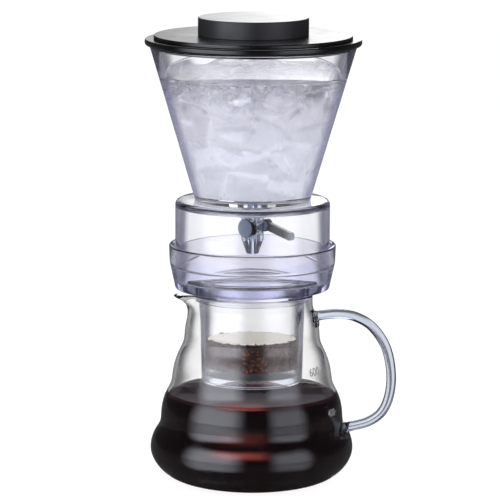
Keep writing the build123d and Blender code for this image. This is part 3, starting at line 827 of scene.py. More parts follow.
# The water's side lies on the wall, which already bends the light for both.
water_side, tree = new_material("water_against_the_wall")
clear = add_node(tree, "ShaderNodeBsdfTransparent", {"Color": linear("fdfdff")})
add_node(tree, "ShaderNodeOutputMaterial", {}, {"Surface": (clear, 0)})
brim = tank_inside(WATER_TOP)
water_outline = [
    (NUT_ROOM, WATER_FLOOR), (tank_inside(WATER_FLOOR) - 2.0, WATER_FLOOR),
    (tank_inside(FLOOR_BEND) - WALL_GAP, FLOOR_BEND), (brim - WALL_GAP, WATER_TOP + 0.7),
    (brim - 0.5, WATER_TOP + 0.25), (brim - 1.5, WATER_TOP), (0.0, WATER_TOP), (0.0, NUT_TOP),
    (NUT_ROOM, NUT_TOP)]
water = dress(turned("tank_water", water_outline, "tank"), water_side, "tank_plastic")
water.data.materials.append(water_top)
for face in water.data.polygons:
    on_top = face.center.z > (WATER_TOP - 0.5) * MM and face.normal.z > 0.3
    face.material_index = 1 if on_top else 0
print("water", round(WATER_TOP - TANK_FLOOR), "mm deep,", round(2 * brim), "mm across at the top")

# %% [markdown]
# ## Ice
# Each layer is a ring of cubes at one height, turned at random by a dice with a fixed seed, so that
# every run casts the same ice. A voxel remesh joins what overlaps, a smoothing pass rounds the
# edges as melting does, and a little noise dents the faces. What would stick out of the water or
# through the wall is pushed back in.

# %% Ice
# Height of a layer, its number of cubes and how far from the axis they lie, in millimetres.
ICE_LAYERS = ((199.0, 5, 18.0), (215.0, 7, 25.0), (231.0, 8, 31.0), (247.0, 10, 39.0),
              (251.0, 4, 17.0))
CUBE_FACES = ((0, 1, 3, 2), (4, 6, 7, 5), (0, 4, 5, 1), (2, 3, 7, 6), (0, 2, 6, 4), (1, 5, 7, 3))
VOXEL = 1.3
ICE_FLOOR = 187.4
dice = random.Random(7)


def add_cube(code, centre, size, pose):
    """One cube from a freezer tray, a little wider at its top."""
    corners = []
    for x in (-0.5, 0.5):
        for y in (-0.5, 0.5):
            for z in (-0.5, 0.5):
                taper = 0.94 + 0.12 * (z > 0)
                corner = centre + pose @ Vector((x * taper, y * taper, z)) * size
                corners.append(code.verts.new(corner * MM))
    for face in CUBE_FACES:
        code.faces.new([corners[i] for i in face])


ice_code = bmesh.new()
for height, cubes, reach in ICE_LAYERS:
    start = dice.uniform(0, 2 * math.pi)
    for i in range(cubes):
        angle = start + 2 * math.pi * (i + dice.uniform(-0.15, 0.15)) / cubes
        out = reach * dice.uniform(0.9, 1.08)
        high = height + dice.uniform(-3, 3)
        pose = Matrix.Rotation(dice.uniform(0, math.pi), 3, "X")
        pose = pose @ Matrix.Rotation(dice.uniform(0, math.pi), 3, "Z")
        centre = Vector((out * math.cos(angle), out * math.sin(angle), high))
        add_cube(ice_code, centre, dice.uniform(21.0, 25.0), pose)
ice = object_from("ice_cubes", ice_code, "tank")
print(sum(layer[1] for layer in ICE_LAYERS), "cubes,", len(ice.data.polygons), "faces")

# %% Melted ice
cast = ice.modifiers.new("cast", "REMESH")
cast.mode = "VOXEL"
cast.voxel_size = VOXEL * MM
melt = ice.modifiers.new("melt", "SMOOTH")
melt.factor = 0.5
melt.iterations = 3
settled = bpy.data.meshes.new_from_object(ice.evaluated_get(bpy.context.evaluated_depsgraph_get()))
ice.modifiers.clear()
ice.data = settled
outward = [vert.normal.copy() for vert in ice.data.vertices]
for vert, normal in zip(ice.data.vertices, outward):
    dent = noise.noise(vert.co / (7.0 * MM)) * 0.8 + noise.noise(vert.co / (2.6 * MM)) * 0.25
    vert.co += normal * dent * MM
    reach = math.hypot(vert.co.x, vert.co.y) / MM
    room = tank_inside(max(vert.co.z / MM, TANK_FLOOR)) - 0.8
    if reach > room:
        vert.co.x *= room / reach
        vert.co.y *= room / reach
    vert.co.z = min(max(vert.co.z, ICE_FLOOR * MM), (WATER_TOP - 0.6) * MM)
smooth(ice, 60.0)
print("melted ice:", len(ice.data.polygons), "faces")

# %% [markdown]
# ## What ice looks like
# Ice from a freezer has a clear skin and a cloud of tiny bubbles in its middle. The cloud is a soft
# white that light enters and leaves again, so it is half diffuse and half translucent. Large noise
# decides where the cloud is thick, and it thins out towards the water's surface. Fine noise gives
# the cracks.

# %% Ice material
ICE_CLOUD = 15.0
ICE_CRACK = 3.2
# Freezer ice: clear skin, a cloud of tiny bubbles in the middle, pale grey blue in soft light.
ice_stuff, tree = new_material("cloudy_freezer_ice")
where = add_node(tree, "ShaderNodeTexCoord")
spot = add_node(tree, "ShaderNodeSeparateXYZ", {}, {0: (where, "Object")})
cloud = add_node(tree, "ShaderNodeTexNoise", {"Scale": 1 / (ICE_CLOUD * MM), "Detail": 4.0,
                 "Distortion": 0.7}, {"Vector": (where, "Object")})
drift = add_node(tree, "ShaderNodeMapRange", {"From Min": 236 * MM, "From Max": 262 * MM,
                 "To Min": 0.34, "To Max": -0.06}, {"Value": (spot, "Z")})
milk = add_node(tree, "ShaderNodeMath", {"operation": "ADD", "use_clamp": True},
                {0: (cloud, "Fac"), 1: (drift, "Result")})
share = add_node(tree, "ShaderNodeMapRange", {"interpolation_type": "SMOOTHSTEP", "From Min": 0.42,
                 "From Max": 0.80, "To Min": 0.12, "To Max": 0.95}, {"Value": (milk, 0)})
crack = add_node(tree, "ShaderNodeTexNoise", {"Scale": 1 / (ICE_CRACK * MM), "Detail": 5.0,
                 "Distortion": 1.2}, {"Vector": (where, "Object")})
shade = add_node(tree, "ShaderNodeMapRange", {"From Min": 0.3, "From Max": 0.7, "To Min": 0.0,
                 "To Max": 1.0}, {"Value": (crack, "Fac")})
colour = add_node(tree, "ShaderNodeMix", {"data_type": "RGBA", 6: linear("f4f5fb"),
                  7: linear("fefeff")}, {0: (shade, "Result")})
bump = add_node(tree, "ShaderNodeBump", {"Strength": 0.6, "Distance": 0.3 * MM},
                {"Height": (crack, "Fac")})
matt = add_node(tree, "ShaderNodeBsdfDiffuse", {},
                {"Color": (colour, 2), "Normal": (bump, "Normal")})
lit = add_node(tree, "ShaderNodeBsdfTranslucent", {},
               {"Color": (colour, 2), "Normal": (bump, "Normal")})
milky = add_node(tree, "ShaderNodeMixShader", {0: 0.5}, {1: (matt, 0), 2: (lit, 0)})
rough = add_node(tree, "ShaderNodeMapRange", {"To Min": 0.02, "To Max": 0.22},
                 {"Value": (cloud, "Fac")})
skin = add_node(tree, "ShaderNodeBsdfPrincipled",
                {"Base Color": linear("ffffff"), "Transmission Weight": 1.0, "IOR": 1.12},
                {"Normal": (bump, "Normal"), "Roughness": (rough, "Result")})
mixed = add_node(tree, "ShaderNodeMixShader", {}, {0: (share, 0), 1: (skin, 0), 2: (milky, 0)})
path = add_node(tree, "ShaderNodeLightPath")
open_air = add_node(tree, "ShaderNodeBsdfTransparent", {"Color": linear("f7f8fa")})
final = add_node(tree, "ShaderNodeMixShader", {},
                 {0: (path, "Is Shadow Ray"), 1: (mixed, 0), 2: (open_air, 0)})
add_node(tree, "ShaderNodeOutputMaterial", {}, {"Surface": (final, 0)})
dress(ice, ice_stuff, "tank_plastic")
print("ice clouds are", ICE_CLOUD, "mm wide, cracks", ICE_CRACK, "mm apart")

# %% [markdown]
# ## Ground coffee
# The grounds fill the foot of the basket: a bed of coarse brown granules, each a small broken chip,
# with darker and lighter roast mixed. A round of cream paper lies on them and spreads the drops.

# %% Grounds
BED_FLOOR = 75.2
BED_TOP = 92.4
BED_GAP = 0.9
CHIPS = 5200
CHIP = [Vector((1, 0.1, -0.6)), Vector((-0.5, 0.9, -0.7)), Vector((-0.6, -0.9, -0.5)),
        Vector((0.1, 0.2, 1.0)), Vector((-0.7, 0.3, 0.6))]
CHIP_FACES = ((0, 1, 2), (0, 3, 1), (1, 4, 2), (1, 3, 4), (2, 4, 0), (4, 3, 0))
bed_outline = [
    (0, BED_FLOOR), (basket_inside(75) - BED_GAP, BED_FLOOR),
    (basket_inside(92) - BED_GAP, BED_TOP - 0.6), (basket_inside(92) - 3.0, BED_TOP),
    (0, BED_TOP + 0.6)]
bed = turned("coffee_bed", bed_outline, "basket", 120)
chip_code = bmesh.new()
for number in range(CHIPS):
    high = dice.uniform(BED_FLOOR, BED_TOP + 2.6 * dice.random() ** 2)
    # Of four chips in a row, the first lies on top, the second on the ridge along the wall, and the
    # other two against the wall at any height.
    place = number % 4
    reach = basket_inside(high) - (dice.uniform(0.75, 1.5) if place else dice.uniform(1.0, 26.0))
    angle = dice.uniform(0, 2 * math.pi)
    if place == 0:
        high = BED_TOP + dice.uniform(-0.2, 1.4)
    elif place == 1:
        ridge = noise.noise(Vector((9.0 * math.cos(angle), 9.0 * math.sin(angle), 0.0)))
        high = BED_TOP + dice.uniform(-0.4, 0.9) + 1.6 * max(0.0, ridge + 0.2)
        reach = basket_inside(high) - dice.uniform(0.75, 2.4)
    size = dice.uniform(0.35, 0.75)
    spin = Matrix.Rotation(dice.uniform(0, 6), 3, "X") @ Matrix.Rotation(dice.uniform(0, 6), 3, "Z")
    spot = Vector((reach * math.cos(angle), reach * math.sin(angle), high))
    tips = [spot + spin @ (tip * size * dice.uniform(0.7, 1.2)) for tip in CHIP]
    tips = [chip_code.verts.new(tip * MM) for tip in tips]
    for a, b, c in CHIP_FACES:
        chip_code.faces.new((tips[a], tips[b], tips[c]))
grains = object_from("coffee_grounds", chip_code, "basket")
print(CHIPS, "chips on a bed", round(BED_TOP - BED_FLOOR), "mm deep")

# %% [markdown]
# ## Roasted coffee
# Each granule broke from a bean at another place, so its colour jumps from one to the next. Cells of
# about a millimetre give that, and a colour ramp turns their random value into the tones of a roast.

# %% Roasted coffee
GRANULE = 1.1
FLECK = 0.4
# Roasted coffee, coarsely ground: dull, warm brown, some chips near black and some with pale skin.
roast, tree = new_material("coarse_ground_coffee")
where = add_node(tree, "ShaderNodeTexCoord")
cells = add_node(tree, "ShaderNodeTexVoronoi", {"Scale": 1 / (GRANULE * MM)},
                 {"Vector": (where, "Object")})
pick = add_node(tree, "ShaderNodeSeparateColor", {}, {0: (cells, "Color")})
ramp = add_node(tree, "ShaderNodeValToRGB", {}, {"Fac": (pick, "Red")})
ramp.color_ramp.elements[0].color = linear("120807")
ramp.color_ramp.elements[1].color = linear("8a5232")
ramp.color_ramp.elements.new(0.55).color = linear("361a10")
ramp.color_ramp.elements.new(0.85).color = linear("5a2f1b")
fleck = add_node(tree, "ShaderNodeTexNoise", {"Scale": 1 / (FLECK * MM), "Detail": 3.0},
                 {"Vector": (where, "Object")})
bump = add_node(tree, "ShaderNodeBump", {"Strength": 0.8, "Distance": 0.15 * MM},
                {"Height": (fleck, "Fac")})
dull = add_node(tree, "ShaderNodeMapRange", {"To Min": 0.5, "To Max": 0.85},
                {"Value": (fleck, "Fac")})
body = add_node(tree, "ShaderNodeBsdfPrincipled", {},
                {"Base Color": (ramp, "Color"), "Roughness": (dull, "Result"),
                 "Normal": (bump, "Normal")})
add_node(tree, "ShaderNodeOutputMaterial", {}, {"Surface": (body, 0)})
for piece in (bed, grains):
    dress(piece, roast, "basket_plastic")
print("granules of", GRANULE, "mm on", bed.name, "and", grains.name)

# %% [markdown]
# ## Paper round
# A loose round of filter paper lies on the grounds. It is one thin turned outline whose points are
# pushed up and down by noise, because paper that lies on granules is never quite flat.

# %% Paper round
PAPER_LOW = 93.6
PAPER_HIGH = 94.4
CRINKLE = 9.0
paper_radius = basket_inside(94) - 1.8
paper_outline = [(0, PAPER_LOW), (basket_inside(94) - 2.3, PAPER_LOW), (paper_radius, 94.0),
                 (basket_inside(94) - 2.3, PAPER_HIGH), (0, PAPER_HIGH)]


def crinkle(radius, height, angle):
    """Lift or lower a point of the paper by up to 0.7 mm."""
    place = Vector((radius * math.cos(angle), radius * math.sin(angle), 0)) / CRINKLE
    return radius, height + 0.7 * noise.noise(place)


sheet = turned("paper_round", paper_outline, "basket", 120, crinkle)
# Unbleached filter paper: warm cream, with fibres, and brown specks that came up from the bed.
cream, tree = new_material("cream_filter_paper")
where = add_node(tree, "ShaderNodeTexCoord")
fibre = add_node(tree, "ShaderNodeTexNoise", {"Scale": 1 / (1.6 * MM), "Detail": 6.0,
                 "Distortion": 2.0}, {"Vector": (where, "Object")})
dots = add_node(tree, "ShaderNodeTexNoise", {"Scale": 1 / (1.2 * MM), "Detail": 1.0},
                {"Vector": (where, "Object")})
speck = add_node(tree, "ShaderNodeMapRange", {"From Min": 0.66, "From Max": 0.72},
                 {"Value": (dots, "Fac")})
tone = add_node(tree, "ShaderNodeMix", {"data_type": "RGBA", 6: linear("ece6d6"),
                7: linear("fbf7ea")}, {0: (fibre, "Fac")})
marked = add_node(tree, "ShaderNodeMix", {"data_type": "RGBA", 7: linear("7c5238")},
                  {0: (speck, "Result"), 6: (tone, 2)})
bump = add_node(tree, "ShaderNodeBump", {"Strength": 0.5, "Distance": 0.1 * MM},
                {"Height": (fibre, "Fac")})
rag = add_node(tree, "ShaderNodeMapRange", {"To Min": 0.8, "To Max": 1.0},
               {"Value": (fibre, "Fac")})
body = add_node(tree, "ShaderNodeBsdfPrincipled", {},
                {"Base Color": (marked, 2), "Roughness": (rag, "Result"),
                 "Normal": (bump, "Normal")})
add_node(tree, "ShaderNodeOutputMaterial", {}, {"Surface": (body, 0)})
dress(sheet, cream, "basket_plastic")
print("paper round", round(2 * paper_radius), "mm across")

# %% [markdown]
# ## Lid, valve and strainer
# These CAD pieces keep their shape and get their finish here. The lid is moulded in black: its plate
# and disc are polished, and the knob has a fine grain on its side where fingers hold it.

# %% Moulded plastic function
MOTTLE = 18.0


def moulded(name, dark, light, low, high, grain_mm, grain, coat=0.0):
    """A moulded plastic or rubber whose tone and shine vary a little, with a fine grain."""
    material, tree = new_material(name)
    where = add_node(tree, "ShaderNodeTexCoord")
    mottle = add_node(tree, "ShaderNodeTexNoise", {"Scale": 1 / (MOTTLE * MM), "Detail": 3.0},
                      {"Vector": (where, "Object")})
    fine = add_node(tree, "ShaderNodeTexNoise", {"Scale": 1 / (grain_mm * MM), "Detail": 2.0},
                    {"Vector": (where, "Object")})
    tone = add_node(tree, "ShaderNodeMix", {"data_type": "RGBA", 6: linear(dark), 7: linear(light)},
                    {0: (fine, "Fac")})
    shine = add_node(tree, "ShaderNodeMapRange", {"From Min": 0.3, "From Max": 0.7, "To Min": low,
                     "To Max": high}, {"Value": (mottle, "Fac")})
    bump = add_node(tree, "ShaderNodeBump", {"Strength": 1.0, "Distance": grain * MM},
                    {"Height": (fine, "Fac")})
    body = add_node(tree, "ShaderNodeBsdfPrincipled", {"Coat Weight": coat, "Coat Roughness": 0.03},
                    {"Base Color": (tone, 2), "Roughness": (shine, "Result"),
                     "Normal": (bump, "Normal")})
    add_node(tree, "ShaderNodeOutputMaterial", {}, {"Surface": (body, 0)})
    return material


print("mottling is", MOTTLE, "mm wide")

# %% Lid
LID_KNOB_TOP = 1.5
# Polished black ABS of the lid: mirrors the softboxes with a crisp edge.
gloss_black = moulded("polished_black_abs", "060607", "0c0c0e", 0.15, 0.20, 0.8, 0.0)
# The disc is a little duller than the plate: hands polish and scratch it.
worn_black = moulded("handled_black_abs", "08080a", "101013", 0.20, 0.27, 0.8, 0.0)
# The knob's side, spark eroded: a fine grain that breaks the light into a soft grey.
grain_black = moulded("grained_black_abs", "0c0c0d", "2a2a2c", 0.42, 0.55, 0.7, 0.05)
paint(["lid_plate"], gloss_black)
paint(["lid_disc"], worn_black)
paint(["lid_knob"], grain_black)
knob = nodes["lid_knob"].data
knob.materials.append(gloss_black)
knob_top = max(vert.co.z for vert in knob.vertices)
for face in knob.polygons:
    on_top = face.normal.z > 0.9 and face.center.z > knob_top - LID_KNOB_TOP * MM
    face.material_index = 1 if on_top else 0
print("black parts:", gloss_black.name, worn_black.name, grain_black.name)

# %% [markdown]
# ## Valve
# The cock's spindle is a waxy nylon, and its lever is a nylon filled with bright flakes. Round the
# lever's hub its colour is painted near black, a painted shade that fades out along the blade. The
# distance from the axis of the tower tells the hub from the blade.

# %% Valve
# Where the painted hub shade is full and where it has faded, in millimetres from the tower's axis.
HUB_SHADE_FULL = 19
HUB_SHADE_GONE = 25
# Slate blue nylon of the valve's spindle: satin, a little waxy.
slate_nylon = moulded("slate_blue_nylon", "5c6880", "76829a", 0.25, 0.4, 1.2, 0.02)
# Grey filled nylon of the lever: metallic flakes catch the light on its ribs.
lever_grey = moulded("grey_flake_nylon", "43474c", "aeb3b8", 0.18, 0.30, 0.5, 0.03, 0.5)
# Black rubber of the seals: dull and even.
seal_rubber = moulded("black_seal_rubber", "0d0d0e", "1c1c1d", 0.5, 0.7, 0.6, 0.01)
# Clouded silicone of the washers: pale, soft and dull.
washer_silicone = moulded("clouded_silicone", "9aa4b4", "c2cad6", 0.4, 0.6, 0.9, 0.01)
paint(["valve_spindle"], slate_nylon)
paint(["valve_lever"], lever_grey)
paint(["spindle_oring", "spindle_washer"], seal_rubber)
paint(["valve_washer_upper", "valve_washer_lower"], washer_silicone)
tree = lever_grey.node_tree
where = add_node(tree, "ShaderNodeTexCoord")
level = add_node(tree, "ShaderNodeVectorMath", {"operation": "MULTIPLY", 1: (1.0, 1.0, 0.0)},
                 {0: (where, "Object")})
reach = add_node(tree, "ShaderNodeVectorMath", {"operation": "LENGTH"}, {0: (level, 0)})
# 0 round the hub, where the lever's shade is painted near black, and 1 along the blade.
outside_hub_shade = add_node(tree, "ShaderNodeMapRange", {"From Min": HUB_SHADE_FULL * MM, "From Max": HUB_SHADE_GONE * MM},
                 {"Value": (reach, "Value")})
body = tree.nodes["Principled BSDF"]
flakes = body.inputs["Base Color"].links[0].from_node
# This mix paints the hub's shade: near black round the hub, the flake colour further out.
painted_hub_shade = add_node(tree, "ShaderNodeMix", {"data_type": "RGBA", 6: linear("17181a")},
                    {0: (outside_hub_shade, 0), 7: (flakes, 2)})
tree.links.new(painted_hub_shade.outputs[2], body.inputs["Base Color"])
print("valve parts:", slate_nylon.name, lever_grey.name, seal_rubber.name, washer_silicone.name)

# %% [markdown]
# ## Steel and clear small parts
# The strainer's plate, the screws and the clip are stainless steel. Brushing leaves fine lines, so a
# noise is squeezed along one axis. The cock's body and nut are a clear nylon, bluer and darker than
# the styrene round them.

# %% Steel and clear small parts
BRUSH = 3.0
# Stainless steel, brushed: grey metal with soft lines.
steel, tree = new_material("brushed_stainless_steel")
where = add_node(tree, "ShaderNodeTexCoord")
drawn = add_node(tree, "ShaderNodeMapping", {"Scale": (1.0, 14.0, 14.0)},
                 {"Vector": (where, "Object")})
brushed = add_node(tree, "ShaderNodeTexNoise", {"Scale": 1 / (BRUSH * MM), "Detail": 4.0},
                   {"Vector": (drawn, "Vector")})
tone = add_node(tree, "ShaderNodeMix", {"data_type": "RGBA", 6: linear("9a9a9c"),
                7: linear("d2d2d4")}, {0: (brushed, "Fac")})
keen = add_node(tree, "ShaderNodeMapRange", {"To Min": 0.2, "To Max": 0.42},
                {"Value": (brushed, "Fac")})
bump = add_node(tree, "ShaderNodeBump", {"Strength": 0.3, "Distance": 0.02 * MM},
                {"Height": (brushed, "Fac")})
body = add_node(tree, "ShaderNodeBsdfPrincipled", {"Metallic": 1.0, "Anisotropic": 0.4},
                {"Base Color": (tone, 2), "Roughness": (keen, "Result"),
                 "Normal": (bump, "Normal")})
add_node(tree, "ShaderNodeOutputMaterial", {}, {"Surface": (body, 0)})
paint(["filter_mesh", "lid_screw", "lever_screw", "spindle_clip"], steel)
# Clear bluish nylon of the cock: you see the plug's shadow and the bore through it. Its dark slate rim
# is painted shade.
clear_nylon = clear_material("clear_bluish_nylon", 1.5, 6.0, 0.02, "e4e9f4", "687088")
paint(["valve_body", "valve_nut", "mesh_ring"], clear_nylon)
print("metal parts:", steel.name, "clear small parts:", clear_nylon.name)

# %% [markdown]
# ## Studio
# Clear things have no colour of their own to photograph: they show what stands behind and beside
# them. A photographer puts them on a strip of white paper that runs back and up, with a darker room
# left and right of it. The middle of each wall then shows white paper, and its rim, which bends the
# view sideways, shows the darker room: that is the dark line round a glass. Here strips of paper
# run out in eight directions, so that the object reads the same from every side.

# %% Paper strips
AWAY = (-math.sin(turn), math.cos(turn), 0.0)
TOWARDS = (math.sin(turn), -math.cos(turn), 0.0)
RIGHT = (math.cos(turn), math.sin(turn), 0.0)
PAPER_HALF = math.radians(9.0)
PAPER_EDGE = math.radians(17.0)
ROOM = 0.25
AFTER_MIRROR = 0.26


def bearing_from(tree, vector, ahead):
    """The angle of a direction seen from above, 0 along ahead and growing to the right."""
    forward = add_node(tree, "ShaderNodeVectorMath", {"operation": "DOT_PRODUCT", 1: ahead},
                       {0: vector})
    aside = add_node(tree, "ShaderNodeVectorMath", {"operation": "DOT_PRODUCT", 1: RIGHT},
                     {0: vector})
    return add_node(tree, "ShaderNodeMath", {"operation": "ARCTAN2"},
                    {0: (aside, "Value"), 1: (forward, "Value")})


def paper_strips(tree, bearing, white):
    """A level that is white along eight directions on the floor and ROOM between them."""
    off = add_node(tree, "ShaderNodeMath", {"operation": "PINGPONG", 1: math.radians(22.5)},
                   {0: (bearing, 0)})
    return add_node(tree, "ShaderNodeMapRange", {"interpolation_type": "SMOOTHSTEP",
                    "From Min": PAPER_HALF, "From Max": PAPER_EDGE, "To Min": white,
                    "To Max": ROOM}, {"Value": (off, 0)})


print("a paper strip is", round(2 * math.degrees(PAPER_HALF)), "degrees wide")

# %% [markdown]
# ## Floor
# The floor is a large pale sheet. The camera sees it mostly as an even white and partly as lit
# paper, so the object keeps its soft shadow. Views through clear plastic see the paper strips, and
# reflections see a faint mirror of the lights, as on a smooth table.

# %% Floor
FLOOR_HALF = 6.0
FLOOR_GAP = 0.0004
code = bmesh.new()
bmesh.ops.create_grid(code, x_segments=2, y_segments=2, size=FLOOR_HALF)
floor_mesh = bpy.data.meshes.new("studio_floor")
code.to_mesh(floor_mesh)
code.free()
floor = bpy.data.objects.new("studio_floor", floor_mesh)
scene.collection.objects.link(floor)
floor.location.z = -FLOOR_GAP
floor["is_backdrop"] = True
print("floor", [round(v, 1) for v in floor.dimensions[:2]], "m")

# %% [markdown]
# ## Floor paper
# The paper answers each kind of ray in its own way. The camera's own rays see it nearly white, with
# the object's shadow on it. Rays bent through a wall see the strips. Rays that a wall has mirrored
# see the two softboxes' light on the floor, with the dark gap between them towards the camera.

# %% Floor paper
# White paper, matt, with a faint smooth mirror of the lights.
paper, tree = new_material("white_studio_paper")
place = add_node(tree, "ShaderNodeNewGeometry")
path = add_node(tree, "ShaderNodeLightPath")
bearing = bearing_from(tree, (place, "Position"), AWAY)
strips = paper_strips(tree, bearing, 1.12)
matt = add_node(tree, "ShaderNodeBsdfDiffuse", {"Color": linear("f2f2f2")})
shine = add_node(tree, "ShaderNodeBsdfGlossy", {"Color": linear("e0e0e0"), "Roughness": 0.12})
seen = add_node(tree, "ShaderNodeMath", {"operation": "MULTIPLY", 1: 1.26},
                {0: (path, "Is Camera Ray")})
turned_away = add_node(tree, "ShaderNodeMath", {"operation": "ABSOLUTE"}, {0: (bearing, 0)})
lit_floor = add_node(tree, "ShaderNodeMapRange", {"interpolation_type": "SMOOTHSTEP",
                     "From Min": math.radians(170.0), "From Max": math.radians(142.0),
                     "To Min": 0.04, "To Max": 0.62}, {"Value": (turned_away, 0)})
once = add_node(tree, "ShaderNodeMath", {"operation": "MINIMUM", 1: 1.0},
                {0: (path, "Glossy Depth")})
paper_view = add_node(tree, "ShaderNodeMix", {"data_type": "FLOAT"},
                      {0: (once, 0), 2: (strips, 0), 3: (lit_floor, "Result")})
bent = add_node(tree, "ShaderNodeMath", {"operation": "MULTIPLY"},
                {0: (path, "Is Transmission Ray"), 1: (paper_view, 0)})
level = add_node(tree, "ShaderNodeMath", {"operation": "ADD"}, {0: (seen, 0), 1: (bent, 0)})
glow = add_node(tree, "ShaderNodeEmission", {"Color": linear("ffffff")}, {"Strength": (level, 0)})
part = add_node(tree, "ShaderNodeMath", {"operation": "MULTIPLY", 1: 0.72},
                {0: (path, "Is Camera Ray")})
share = add_node(tree, "ShaderNodeMath", {"operation": "MAXIMUM"},
                 {0: (part, 0), 1: (path, "Is Transmission Ray")})
plain = add_node(tree, "ShaderNodeMixShader", {}, {0: (share, 0), 1: (matt, 0), 2: (glow, 0)})
# A ray bent by a rough wall counts as glossy too, so only what isn't bent is taken as mirrored.
mirrored = add_node(tree, "ShaderNodeMath", {"operation": "SUBTRACT", "use_clamp": True},
                    {0: (path, "Is Glossy Ray"), 1: (path, "Is Transmission Ray")})
gloss = add_node(tree, "ShaderNodeMath", {"operation": "MULTIPLY", 1: 0.9}, {0: (mirrored, 0)})
mixed = add_node(tree, "ShaderNodeMixShader", {}, {0: (gloss, 0), 1: (plain, 0), 2: (shine, 0)})
add_node(tree, "ShaderNodeOutputMaterial", {}, {"Surface": (mixed, 0)})
floor_mesh.materials.append(paper)
print("floor paper has", len(tree.nodes), "nodes")

# %% [markdown]
# ## World and lights
# Two tall softboxes stand left and right of the camera, with a dark gap between them for the camera
# itself. The black coffee shows them as two pale patches with soft edges. The world draws what
# reflections see, with the bright paper behind the object, and two area lamps in the same places
# light the matt surfaces.

# %% World
DARK = 0.06
GREY = 0.45
world = bpy.data.worlds.new("studio")
scene.world = world
world.use_nodes = True
tree = world.node_tree
tree.nodes.clear()
where = add_node(tree, "ShaderNodeTexCoord")
spot = add_node(tree, "ShaderNodeSeparateXYZ", {}, {0: (where, "Generated")})
lift = add_node(tree, "ShaderNodeMath", {"operation": "ARCSINE"}, {0: (spot, "Z")})
strips = paper_strips(tree, bearing_from(tree, (where, "Generated"), AWAY), 1.15)
swing = bearing_from(tree, (where, "Generated"), TOWARDS)
print("world starts with", len(tree.nodes), "nodes")

# %% [markdown]
# ## Softboxes in the reflections
# A softbox in the world is a window between two bearings and two heights, each edge a smooth ramp.
# The four ramps are multiplied. Both boxes are drawn here and not as lamps that show, because a
# lamp's picture in the coffee would have a hard edge.

# %% Softboxes in the world
def window(left, right, low, high, side_soft, top_soft, strength):
    """A softbox between two bearings from the camera's side and two heights, in degrees."""
    edges = []
    for value, start, end in ((swing, left, left + side_soft), (swing, right, right - side_soft),
                              (lift, low, low + top_soft), (lift, high, high - top_soft)):
        edges.append(add_node(tree, "ShaderNodeMapRange", {"interpolation_type": "SMOOTHSTEP",
                     "From Min": math.radians(start), "From Max": math.radians(end)},
                     {"Value": (value, 0)}))
    total = add_node(tree, "ShaderNodeMath", {"operation": "MULTIPLY", 1: strength},
                     {0: (edges[0], 0)})
    for edge in edges[1:]:
        total = add_node(tree, "ShaderNodeMath", {"operation": "MULTIPLY"},
                         {0: (total, 0), 1: (edge, 0)})
    return total


left_box = window(-92.0, -3.0, -20.0, 44.0, 30.0, 20.0, 5.0)
right_box = window(15.0, 82.0, -20.0, 44.0, 22.0, 24.0, 2.5)
both = add_node(tree, "ShaderNodeMath", {"operation": "ADD"}, {0: (left_box, 0), 1: (right_box, 0)})
path = add_node(tree, "ShaderNodeLightPath")
behind_glass = add_node(tree, "ShaderNodeMapRange", {"To Min": 1.0, "To Max": 0.50},
                        {"Value": (path, "Is Transmission Ray")})
boxes = add_node(tree, "ShaderNodeMath", {"operation": "MULTIPLY"},
                 {0: (both, 0), 1: (behind_glass, 0)})
print("softboxes take", len(tree.nodes), "nodes so far")

# %% [markdown]
# ## Paper in the world
# The strips of paper run up behind the floor for a few degrees and then end. Only rays bent through
# a wall see them. All other rays that a surface sends out see the softboxes over a dark room, the
# soft bounced light sees a plain grey, and the camera itself sees white.

# %% Paper in the world
fade = add_node(tree, "ShaderNodeMapRange", {"interpolation_type": "SMOOTHSTEP",
                "From Min": math.radians(9.5), "From Max": math.radians(11.5),
                "To Min": 1.0, "To Max": 0.10}, {"Value": (lift, 0)})
turned_back = add_node(tree, "ShaderNodeMapRange", {"To Min": 1.0, "To Max": AFTER_MIRROR},
                       {"Value": (path, "Glossy Depth")})
paper = add_node(tree, "ShaderNodeMath", {"operation": "MULTIPLY"},
                 {0: (strips, 0), 1: (path, "Is Transmission Ray")})
for share in (fade, turned_back):
    paper = add_node(tree, "ShaderNodeMath", {"operation": "MULTIPLY"}, {0: (paper, 0), 1: (share, 0)})
dim = add_node(tree, "ShaderNodeMath", {"operation": "MAXIMUM", 1: DARK}, {0: (paper, 0)})
view = add_node(tree, "ShaderNodeMath", {"operation": "MAXIMUM"}, {0: (boxes, 0), 1: (dim, 0)})
bent = add_node(tree, "ShaderNodeMath", {"operation": "MAXIMUM"},
                {0: (path, "Is Glossy Ray"), 1: (path, "Is Transmission Ray")})
around = add_node(tree, "ShaderNodeMapRange", {"To Min": GREY},
                  {"Value": (bent, 0), "To Max": (view, 0)})
level = add_node(tree, "ShaderNodeMath", {"operation": "MAXIMUM"},
                 {0: (around, "Result"), 1: (path, "Is Camera Ray")})
# What a surface mirrors or bends is a little cooler than the grey room, as daylight lamps are.
cool = add_node(tree, "ShaderNodeMix", {"data_type": "RGBA", 6: linear("ffffff"),
                7: linear("f0f2ff")}, {0: (bent, 0)})
sky = add_node(tree, "ShaderNodeBackground", {}, {"Strength": (level, 0), "Color": (cool, 2)})
add_node(tree, "ShaderNodeOutputWorld", {}, {"Surface": (sky, 0)})
print("world has", len(tree.nodes), "nodes")

# %% [markdown]
# ## Lamps
# The lamps stand where the softboxes are drawn. They light the matt surfaces and cast the shadow,
# and are hidden from glossy and bent rays, which see the drawn softboxes already. A lamp's power
# follows its area, so that its brightness stays the same when its size changes.

# %% Lamps
LAMP_REACH = 1.5
MIDDLE = Vector((0, 0, 0.15))


